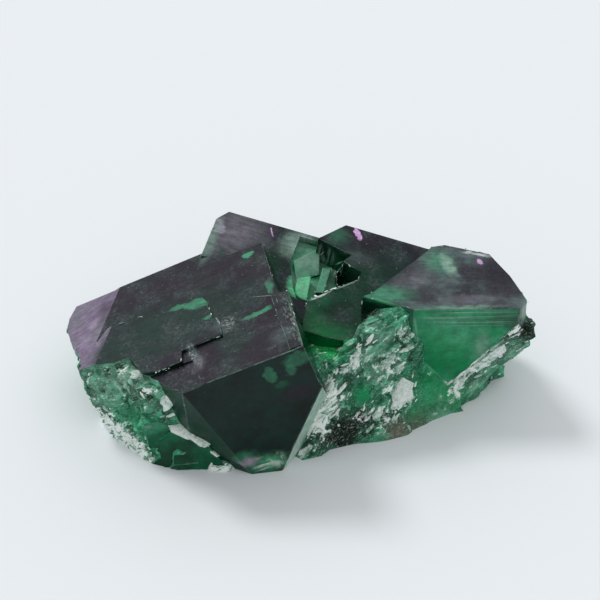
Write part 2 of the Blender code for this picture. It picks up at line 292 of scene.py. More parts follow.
def zone_of(centre, normal):
    """The zone of a flat face of the solid, from its centre in millimetres and its normal."""
    if normal.z < -ALIGNED and centre.z < TABLE_HEIGHT:
        return "underside"
    for name, planes in SLANTED.items():
        if any(normal.dot(Vector(plane).normalized()) > ALIGNED for plane in planes):
            return name
    if inside(centre, FOOT_LOW, FOOT_HIGH) and normal.y < FOOT_FRONT:
        return "foot"
    if inside(axes_of("twin").transposed() @ (centre - corner_of("twin")), HOLLOW_LOW, HOLLOW_HIGH):
        return "hollow_wall" if normal.y < HOLLOW_FRONT else "hollow"
    in_main = axes_of("main").transposed() @ (centre - corner_of("main"))
    level = (axes_of("main").transposed() @ normal).z
    if abs(level) < RISER_SLOPE and inside(in_main, PLATE_LOW, PLATE_HIGH):
        return "riser"
    for crystal, top, side in (("main", "main_top", "main_side"), ("twin", "twin_top", "twin_side"),
                               ("right", "right_top", "right_side"), ("rear", "rear", "rear"),
                               ("rear_right", "rear", "rear")):
        axes = axes_of(crystal)
        local = axes.transposed() @ normal
        if local.z > ALIGNED and (crystal != "right" or centre.z > RIGHT_TOP_HEIGHT):
            return top
        if max(abs(local.x), abs(local.y)) > ALIGNED:
            front = {"main": "main_front", "right": "right_front"}.get(crystal, side)
            return front if local.y < -ALIGNED else side
        wall = abs(local.z) < WALL_SLOPE and centre.z > WALL_HEIGHT and centre.x > WALL_LEFT
        if wall and crystal in ("twin", "right"):
            return side
    return "broken"


def copy_of_solid(name):
    """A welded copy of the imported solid, its flat faces whole again."""
    piece = bpy.data.objects.new(name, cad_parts[SOLID].data.copy())
    bpy.context.scene.collection.objects.link(piece)
    edit_all(piece)
    bpy.ops.mesh.remove_doubles(threshold=0.001 * MM)
    bpy.ops.mesh.customdata_custom_splitnormals_clear()
    bpy.ops.mesh.dissolve_limited(angle_limit=math.radians(0.5))
    bpy.ops.object.mode_set(mode="OBJECT")
    piece.data.materials.clear()
    return piece


def mark_zones(piece):
    """Stores each face's zone and plane. A small face that mostly borders the broken surface belongs to it,
    and so does a tiny one that borders it along two fifths of its outline."""
    mesh = piece.data
    zones = [ZONE[zone_of(face.center / MM, face.normal)] for face in mesh.polygons]
    sides = {}
    for face in mesh.polygons:
        for key in face.edge_keys:
            sides.setdefault(key, []).append(face.index)
    first = list(zones)
    for face in mesh.polygons:
        if face.area > SMALL_FACE * MM * MM:
            continue
        total = rough = 0.0
        for key in face.edge_keys:
            length = (mesh.vertices[key[0]].co - mesh.vertices[key[1]].co).length
            total += length
            if any(first[other] == ZONE["broken"] for other in sides[key] if other != face.index):
                rough += length
        share = TINY_SHARE if face.area < TINY_FACE * MM * MM else SMALL_SHARE
        if rough > share * total:
            zones[face.index] = ZONE["broken"]
    store(mesh, "zone", "INT", "FACE", zones)
    store(mesh, "plane", "FLOAT_VECTOR", "FACE", [face.normal for face in mesh.polygons])


def wear_edges(piece, width):
    """Bevels the sharp edges between two crystal faces, longest first, each as far as its own ends allow. The
    edge between the big cube's front and the band left of it stays sharp."""
    only(piece)
    bpy.ops.object.mode_set(mode="EDIT")
    bpy.ops.mesh.select_mode(type="EDGE")
    bm = bmesh.from_edit_mesh(piece.data)
    zone = bm.faces.layers.int["zone"]
    order = bm.edges.layers.int.new("order")
    sharp = []
    for edge in bm.edges:
        faces = edge.link_faces
        if edge.calc_length() < SHORTEST_WORN * MM or not edge.is_convex:
            continue
        meets = {ZONES[face[zone]] for face in faces}
        if meets & {"broken", "underside"} or meets == {"main_front", "left_band"}:
            continue
        if faces[0].normal.angle(faces[1].normal) > SHARP_TURN:
            sharp.append(edge)
    sharp.sort(key=lambda edge: (-edge.calc_length(), *edge.verts[0].co))
    for rank, edge in enumerate(sharp, 1):
        edge[order] = rank
    bmesh.update_edit_mesh(piece.data)
    for rank in range(1, len(sharp) + 1):
        bpy.ops.mesh.select_all(action="DESELECT")
        bm = bmesh.from_edit_mesh(piece.data)
        order = bm.edges.layers.int["order"]
        chosen = [edge for edge in bm.edges if edge[order] == rank]
        for edge in chosen:
            edge.select_set(True)
        bmesh.update_edit_mesh(piece.data)
        if chosen:
            bpy.ops.mesh.bevel(offset=width, segments=1, affect="EDGES", clamp_overlap=True)
    bpy.ops.mesh.select_all(action="SELECT")
    bpy.ops.mesh.quads_convert_to_tris()
    bpy.ops.object.mode_set(mode="OBJECT")


def refine_broken(piece, longest):
    """Halves the long edges of the broken surface until none is longer than that."""
    only(piece)
    bpy.ops.object.mode_set(mode="EDIT")
    bpy.ops.mesh.select_mode(type="EDGE")
    for _ in range(HALVINGS):
        bm = bmesh.from_edit_mesh(piece.data)
        zone = bm.faces.layers.int["zone"]
        bpy.ops.mesh.select_all(action="DESELECT")
        chosen = 0
        for edge in bm.edges:
            on_break = any(face[zone] == ZONE["broken"] for face in edge.link_faces)
            if on_break and edge.calc_length() > longest:
                edge.select_set(True)
                chosen += 1
        if not chosen:
            break
        bmesh.update_edit_mesh(piece.data)
        bpy.ops.mesh.subdivide(number_cuts=1)
        bpy.ops.mesh.select_all(action="SELECT")
        bpy.ops.mesh.quads_convert_to_tris(quad_method="SHORTEST_DIAGONAL")
    bpy.ops.object.mode_set(mode="OBJECT")


def fade_in(piece, reach):
    """How far each point may move: 0 off the broken surface and at its edge, 1 farther in than that reach."""
    mesh = piece.data
    touches = np.zeros((len(mesh.vertices), 2), bool)
    for face, zone in zip(mesh.polygons, zone_values(piece)):
        touches[face.vertices, int(zone == ZONE["broken"])] = True
    edge = np.where(touches.all(axis=1))[0]
    tree = kdtree.KDTree(len(edge))
    for index in edge:
        tree.insert(mesh.vertices[index].co, int(index))
    tree.balance()
    share = np.zeros(len(mesh.vertices))
    for index in np.where(touches[:, 1] & ~touches[:, 0])[0]:
        share[index] = min(1.0, tree.find(mesh.vertices[index].co)[2] / reach)
    return share


# Where the right end is blunted: place, reach and how far it moves along x, in millimetres, and smoothing
# passes. Its upper part comes out, and its foot goes in.
BLUNTED = (
    ((29.2, -2.2, 10.3), 2.4, 1.0, 16), ((28.4, -1.2, 7.4), 3.0, 1.3, 8), ((27.8, 0.2, 1.7), 3.2, -1.6, 8),
    ((25.2, -1.2, 0.8), 2.6, -1.0, 8), ((21.8, -4.8, 0.5), 1.8, -0.7, 8),
)


def round_off(piece, spots):
    """Smooths the broken surface around each spot and moves it along x, most in the middle of the spot."""
    edge_of_break = fade_in(piece, BORDER_FADE * MM) < 0.5
    for centre, reach, push, passes in spots:
        only(piece)
        points = points_of(piece.data)
        away = np.linalg.norm(points - np.array(centre), axis=1)
        piece.data.vertices.foreach_set("select", (away < reach) & ~edge_of_break)
        piece.data.edges.foreach_set("select", np.zeros(len(piece.data.edges), bool))
        piece.data.polygons.foreach_set("select", np.zeros(len(piece.data.polygons), bool))
        bpy.ops.object.mode_set(mode="EDIT")
        bpy.ops.mesh.select_mode(type="VERT")
        bpy.ops.mesh.vertices_smooth(factor=0.5, repeat=passes)
        bpy.ops.object.mode_set(mode="OBJECT")
        points = points_of(piece.data)
        near = np.clip(1 - np.linalg.norm(points - np.array(centre), axis=1) / reach, 0, 1)
        near *= ~edge_of_break | (points[:, 2] < FOOT_LINE)
        points[:, 0] += push * near ** 2 * (3 - 2 * near)
        piece.data.vertices.foreach_set("co", (points * MM).ravel())
        piece.data.update()


def splinter(piece, shape):
    """Breaks the broken surface up: blocky chips, and long splinters on them. Returns how far each point went
    out, in millimetres, and each point's own random number, the same all over a splinter."""
    mesh = piece.data
    points = points_of(mesh)
    share = fade_in(piece, RELIEF_FADE * MM) * (1 - CALMING * spot_sum(points, CLEAN_SPOTS + CALM_SPOTS))
    width = shape.splinter_size / MM
    chips, _ = shards(points, shape.chip_size / MM, axes_of("main"), EVEN, CHIP_SEED)
    left, left_own = shards(points, width, axes_of("main"), LEFT_STRETCH, LEFT_SEED)
    right, right_own = shards(points, width, SPLIT, RIGHT_STRETCH, RIGHT_SEED)
    on_right = points[:, 0] > 0.0
    fine = np.where(on_right, right, left)
    out = share * (chips * shape.chip_height + fine * shape.splinter_height) / MM
    moved = points + read(mesh.vertices, "normal") * out[:, None]
    moved[:, 2] = np.maximum(moved[:, 2], np.minimum(points[:, 2], LOWEST))
    mesh.vertices.foreach_set("co", (moved * MM).ravel())
    mesh.update()
    return out, np.where(on_right, right_own, left_own)


def shards(points, size, tilt, stretch, seed):
    """Splits space into octahedral shards of that size in millimetres, stretched along the axes of the tilt.
    For each point: how far its shard stands out, on a face tilted its own way, and the shard's own random
    number, 0 to 1."""
    table = np.random.default_rng(seed).random((REPEAT, REPEAT, REPEAT, 8))
    local = points @ np.array(tilt) / (size * np.array(stretch))
    cell = np.floor(local).astype(int)
    nearest = np.full(len(points), np.inf)
    step, own = np.zeros(len(points)), np.zeros(len(points))
    for offset in np.ndindex(3, 3, 3):
        near = cell + np.array(offset) - 1
        drawn = table[tuple((near % REPEAT).T)]
        away = local - (near + 0.1 + 0.8 * drawn[:, :3])  # no shard's middle is close to its cell's border
        distance = np.abs(away).sum(axis=1)
        height = 0.7 * (2 * drawn[:, 3] - 1) + (away * (2 * drawn[:, 4:7] - 1)).sum(axis=1)
        closer = distance < nearest
        nearest = np.where(closer, distance, nearest)
        step = np.where(closer, height, step)
        own = np.where(closer, drawn[:, 7], own)
    return step, own


# Where shattered white, painted shade in the hollows and iron stain gather on the broken surface: place and
# reach, in millimetres, and strength.
FROST_SPOTS = (
    ((-24.0, -10.6, 2.5), 2.0, 0.8), ((-22.2, -12.4, 0.8), 2.2, 1.0), ((-19.7, -14.6, 0.6), 1.7, 0.9),
    ((-26.5, -8.5, 5.0), 1.8, 0.5), ((-19.7, -11.9, 12.4), 1.2, 0.7), ((-22.0, -11.3, 11.0), 1.0, 0.5),
    ((-24.5, -9.0, 0.6), 1.6, 0.9), ((-12.7, -16.8, 0.9), 1.0, 0.9), ((-10.5, -17.0, 0.5), 1.0, 0.9),
    ((-8.4, -17.0, 0.2), 0.9, 0.6), ((-5.4, -17.4, 0.4), 0.8, 0.6), ((-18.6, -14.1, 10.4), 0.9, 0.6),
    ((7.2, -8.8, 11.5), 1.2, 0.7), ((9.5, -8.2, 9.8), 1.6, 0.3), ((11.9, -7.1, 8.6), 1.8, 0.5),
    ((13.6, -7.9, 4.5), 1.6, 0.7), ((1.8, -15.0, 8.2), 1.6, 0.9), ((1.2, -14.0, 4.6), 1.9, 0.9),
    ((0.4, -14.2, 1.4), 1.2, 0.9), ((4.6, -12.4, 8.8), 2.0, 0.5), ((3.5, -11.0, 5.5), 1.4, 0.6),
    ((23.3, -3.3, 5.9), 1.7, 0.8), ((25.4, -2.8, 7.4), 1.3, 0.8), ((21.0, -5.0, 3.0), 1.4, 0.6),
    ((27.4, -3.0, 11.0), 1.4, 0.5), ((8.0, -10.6, 3.4), 1.5, 0.6), ((10.9, -9.4, 2.4), 1.5, 0.7),
    ((13.2, -5.0, 12.0), 1.4, 0.5), ((3.0, -13.0, 4.6), 1.4, 0.9), ((4.0, -11.8, 7.1), 1.3, 1.0),
    ((4.2, -10.9, 9.6), 1.1, 0.35), ((5.9, -9.7, 10.1), 1.0, 0.25), ((20.9, -3.8, 3.6), 1.6, 0.5),
    ((8.5, 13.5, 8.0), 1.8, 0.7), ((-8.5, 16.5, 7.5), 2.0, 0.7), ((24.0, 9.0, 8.5), 1.8, 0.7),
    ((28.5, 2.0, 5.0), 2.0, 0.7), ((-24.0, 9.5, 7.0), 2.0, 0.7), ((-28.0, 3.0, 3.0), 1.8, 0.6),
    ((12.0, 15.0, 2.0), 1.8, 0.6), ((-26.0, 8.0, 1.5), 1.6, 0.6),
)
# Painted shade: where the hollows of the broken surface are darkened.
PAINTED_SHADE_SPOTS = (
    ((5.4, -12.2, 2.6), 2.4, 1.0), ((8.3, -10.7, 3.2), 1.7, 0.8), ((2.6, -13.2, 1.6), 1.6, 0.8),
    ((28.2, -3.4, 12.2), 1.8, 0.7), ((29.2, -2.3, 10.4), 1.8, 1.0), ((26.4, -3.4, 10.4), 1.2, 0.6),
    ((3.6, -9.8, 12.4), 1.0, 0.7), ((8.6, -3.4, 13.4), 1.3, 1.0), ((9.3, -2.6, 13.4), 0.9, 1.0),
    ((6.0, -12.3, 0.8), 1.6, 0.9),
)
RUST_SPOTS = (((12.7, -10.7, 0.7), 1.8, 1.0), ((15.6, -9.0, 0.3), 1.6, 0.7))
# Where the break ran clean: clear green, with few splinters.
CLEAN_SPOTS = (
    ((17.5, -6.0, 4.0), 3.2, 0.8), ((20.5, -5.0, 1.5), 2.4, 0.6), ((14.8, -8.2, 1.3), 1.4, 0.6),
    ((8.2, -10.0, 6.2), 1.3, 0.9), ((-20.0, -12.5, 5.0), 2.8, 0.3), ((-16.5, -14.8, 3.5), 2.2, 0.5),
)
# Where the outline stays even, so the chips are low.
CALM_SPOTS = (((28.5, -1.5, 10.0), 4.0, 0.9), ((26.5, -3.0, 3.0), 3.5, 0.8), ((-28.5, -4.0, 6.0), 4.0, 0.8))
# Where fine cracks cloud the break.
MILK_SPOTS = (
    ((-24.0, -9.5, 8.5), 3.2, 0.8), ((-20.5, -11.5, 11.0), 2.6, 1.0), ((-17.0, -13.5, 9.5), 2.2, 0.7),
    ((-25.5, -8.0, 4.0), 3.0, 0.6), ((1.8, -14.2, 6.0), 3.4, 0.8), ((10.0, -8.0, 9.0), 3.4, 0.5),
    ((9.6, -6.5, 12.2), 2.6, 0.5), ((25.0, -3.0, 8.0), 3.0, 0.7), ((23.0, -4.0, 4.0), 2.6, 0.6),
    ((28.0, -2.0, 6.0), 3.0, 0.5), ((18.5, -6.0, 1.5), 3.0, 0.9), ((21.0, -3.8, 4.0), 2.4, 0.8),
    ((3.8, -11.8, 7.4), 2.0, 0.8), ((10.0, 14.0, 6.0), 4.0, 0.6),
    ((-8.0, 17.0, 5.0), 4.0, 0.6), ((24.0, 10.0, 6.0), 4.0, 0.6), ((-22.0, 10.0, 5.0), 4.0, 0.6),
)
# Where light comes through a thin corner.
EMERALD_SPOTS = (((4.2, -7.4, 11.6), 1.7, 1.0), ((1.4, -6.8, 12.0), 1.6, 0.7))


def paint_broken(piece, out, own):
    """Stores how white and stained the broken surface is, where painted shade darkens its hollows, how far
    each point stands out, and each splinter's own random number.
    """
    points = points_of(piece.data)
    for name, spots in (("frost", FROST_SPOTS), ("painted_shade", PAINTED_SHADE_SPOTS), ("rust", RUST_SPOTS),
                        ("clean", CLEAN_SPOTS), ("milk", MILK_SPOTS), ("emerald", EMERALD_SPOTS)):
        store(piece.data, name, "FLOAT", "POINT", spot_sum(points, spots))
    # How far each point stands out, which the material turns into painted shade in the low parts.
    store(piece.data, "raised", "FLOAT", "POINT", np.clip(0.5 + out, 0, 1))
    store(piece.data, "shard", "FLOAT", "POINT", own)


# Each zone: its body colour, the colour of the clouds in it, how clear it is, how rough, and the crystal
# whose axes its markings follow.
LOOKS = {
    "broken": ("moss", "deep", 0.0, 0.50, "main"), "main_top": ("dusk", "slate", 0.25, 0.22, "main"),
    "main_front": ("abyss", "night", 0.45, 0.12, "main"), "main_side": ("deep", "abyss", 0.50, 0.15, "main"),
    "wing": ("lilac", "mauve", 0.10, 0.35, "main"), "corner": ("ash", "sage", 0.0, 0.35, "main"),
    "left_band": ("deep", "slate", 0.25, 0.20, "main"), "twin_top": ("dusk", "slate", 0.25, 0.22, "twin"),
    "twin_side": ("deep", "abyss", 0.50, 0.18, "twin"), "hollow": ("leaf", "sage", 0.20, 0.20, "twin"),
    # The right cube's front is painted glow green: painted light let through it from behind.
    # The right cube's top is pale grey: painted reflection of the sky.
    "right_top": ("haze", "dusk", 0.15, 0.28, "right"), "right_front": ("glow", "leaf", 0.25, 0.18, "right"),
    "right_side": ("slate", "deep", 0.30, 0.20, "right"), "rear": ("slate", "deep", 0.30, 0.25, "rear"),
    # Step risers are painted near black: painted shadow along each step of the big cube's top.
    "foot": ("fern", "deep", 0.30, 0.18, "main"), "riser": ("night", "deep", 0.0, 0.30, "main"),
    # The hollow's back wall is painted near black: painted shade inside the hollow.
    "hollow_wall": ("night", "fern", 0.35, 0.15, "twin"), "underside": ("moss", "deep", 0.0, 0.50, "main"),
}
# How strongly the pale bloom and the growth lines show in a zone.
BLOOM = {"main_top": 1.0, "twin_top": 1.0, "wing": 1.0, "rear": 1.0, "right_top": 0.5}
BEVELLED = math.cos(math.radians(6))  # a face that turned farther off its plane is a worn edge


def paint_zones(piece, colours):
    """Stores each face's body and cloud colours, its clearness and roughness, whether it is a crystal face,
    how worn and bloomed it is, and where its corners lie in its crystal's axes."""
    mesh = piece.data
    zones = zone_values(piece)
    tone, cloud, clear, rough, crystals = zip(*(LOOKS[name] for name in ZONES))
    smooth = ~np.isin(zones, (ZONE["broken"], ZONE["underside"]))
    on_plane = (read(mesh.polygons, "normal") * read(mesh.attributes["plane"].data, "vector")).sum(axis=1)
    for name, shades in (("tone", tone), ("cloud", cloud)):
        values = np.array([(*getattr(colours, shade), 1.0) for shade in shades])[zones]
        store(mesh, name, "FLOAT_COLOR", "FACE", values)
    bloomed = np.array([BLOOM.get(name, 0.0) for name in ZONES])[zones]
    for name, values in (("clear", np.array(clear)[zones]), ("rough", np.array(rough)[zones]),
                         ("glassy", smooth), ("worn", (on_plane < BEVELLED) & smooth), ("bloomed", bloomed)):
        store(mesh, name, "FLOAT", "FACE", values)
    places = points_of(mesh)[read(mesh.loops, "vertex_index", 1, np.int32)]
    of_corner = np.repeat(zones, read(mesh.polygons, "loop_total", 1, np.int32))
    lattice = np.zeros((len(places), 3), np.float32)
    for index, crystal in enumerate(crystals):
        chosen = of_corner == index
        lattice[chosen] = (places[chosen] - np.array(corner_of(crystal))) @ np.array(axes_of(crystal))
    chosen = (of_corner == ZONE["broken"]) & (places[:, 0] > 0)
    lattice[chosen] = places[chosen] @ np.array(SPLIT)
    store(mesh, "lattice", "FLOAT_VECTOR", "CORNER", lattice * MM)


# ------------------------------------------------------------------------------------------- material


def add(tree, kind, settings=None, links=None):
    """Adds a node, sets its properties and inputs, and links its inputs from sockets."""
    node = tree.nodes.new(kind)
    for name, value in (settings or {}).items():
        if isinstance(name, str) and hasattr(node, name):
            setattr(node, name, value)
        else:
            node.inputs[name].default_value = value
    for name, socket in (links or {}).items():
        tree.links.new(socket, node.inputs[name])
    return node


def blend(tree, share, under, over):
    """One colour over another. A share, or a colour, is a socket or a plain value."""
    node = tree.nodes.new("ShaderNodeMix")
    node.data_type = "RGBA"
    for index, value in ((0, share), (6, under), (7, over)):
        if isinstance(value, bpy.types.NodeSocket):
            tree.links.new(value, node.inputs[index])
        else:
            node.inputs[index].default_value = value if index == 0 else (*value[:3], 1.0)
    return node.outputs[2]


def ramp(tree, socket, low, high, to_low=0.0, to_high=1.0):
    """The value eased from to_low to to_high as the socket goes from low to high."""
    return add(tree, "ShaderNodeMapRange", {
        "interpolation_type": "SMOOTHSTEP", "From Min": low, "From Max": high, "To Min": to_low,
        "To Max": to_high}, {"Value": socket}).outputs[0]


def maths(tree, operation, *values):
    """One sum on values, each of them a socket or a number."""
    node = tree.nodes.new("ShaderNodeMath")
    node.operation = operation
    for index, value in enumerate(values):
        if isinstance(value, bpy.types.NodeSocket):
            tree.links.new(value, node.inputs[index])
        else:
            node.inputs[index].default_value = value
    return node.outputs[0]


def noise(tree, place, name):
    """The grain of that name at that place."""
    size, detail, roughness = GRAINS[name]
    return add(tree, "ShaderNodeTexNoise", {
        "Scale": 1 / (size * MM), "Detail": detail, "Roughness": roughness}, {"Vector": place})


def patches(tree, place, name):
    """The grain of that name, eased between its two levels."""
    return ramp(tree, noise(tree, place, name).outputs["Fac"], *LEVELS[name])


def brightened(tree, colour, factor):
    """The colour times a factor."""
    return add(tree, "ShaderNodeVectorMath", {"operation": "SCALE"}, {0: colour, "Scale": factor}).outputs[0]


# Every grain of the fluorite: the size of its features in millimetres, and the detail and roughness in
# them.
GRAINS = {
    "wander": (1.4, 5.0, 0.65), "lines": (0.35, 4.0, 0.6), "clouds": (6.0, 5.0, 0.6),
    "mottle": (1.1, 6.0, 0.7), "bloom": (3.0, 4.0, 0.6), "grit": (0.45, 6.0, 0.8),
    "pricks": (0.35, 2.0, 0.5), "wear": (2.6, 6.0, 0.75), "veins": (3.0, 6.0, 0.65),
    "veils": (2.0, 6.0, 0.7), "specks": (0.62, 6.0, 0.72), "dust": (0.16, 3.0, 0.7),
    "film": (0.9, 6.0, 0.7), "pits": (0.5, 8.0, 0.6), "cracks": (0.5, 6.0, 0.7),
}
# Where a grain, or a share, starts and ends, and what it is eased from and to.
LEVELS = {
    "clouds": (0.40, 0.62, 0.0, 0.85), "mottle": (0.3, 0.7, 0.76, 1.24), "bloom": (0.42, 0.66, 0.0, 0.55),
    "grit": (0.40, 0.72), "pricks": (0.70, 0.78, 0.0, 0.3), "wear": (0.44, 0.68, 0.08, 0.75),
    "veins": (0.35, 0.60), "veils": (0.36, 0.62, 0.25, 0.85), "dust": (0.52, 0.72, 0.0, 0.4),
    "lines": (0.35, 0.65, -0.18, 0.18), "stripes": (0.48, 0.62), "shard": (0.0, 1.0, 0.65, 1.35),
    "raised": (0.30, 0.62, 0.45, 1.15), "white": (0.90, 1.04, 0.0, 0.95), "flake": (0.45, 0.95),
}
FROSTING = (0.42, 0.30, 0.22)  # what frost, height and a splinter's own number add to the white
LINED = (0.7, 0.3)  # how much more growth lines show where a face is bloomed, and how much anywhere
VEINED = (0.6, 0.4)  # how much moss green the veins add, and how much there is anywhere
BORDER_WANDER, SCRATCH_WANDER = 1.5, 0.35  # millimetres: how far borders and scratches stray in all
LINE_STRETCH, SPLINTER_STRETCH = (0.12, 1.0, 1.0), (0.3, 1.0, 1.0)  # both are long along the first axis
FLUORITE_IOR = 1.434
SKIN_SHINE, FLAKE_SHINE = 0.09, 0.4  # mirror light, where 0.5 is all that the IOR gives
FILM_ROUGHNESS = 0.10  # how much a thin film roughens the skin at most
LINE_RELIEF = 1.2  # growth lines against pits
DEPTH_DENSITY = 240.0  # how much light a metre of it takes up
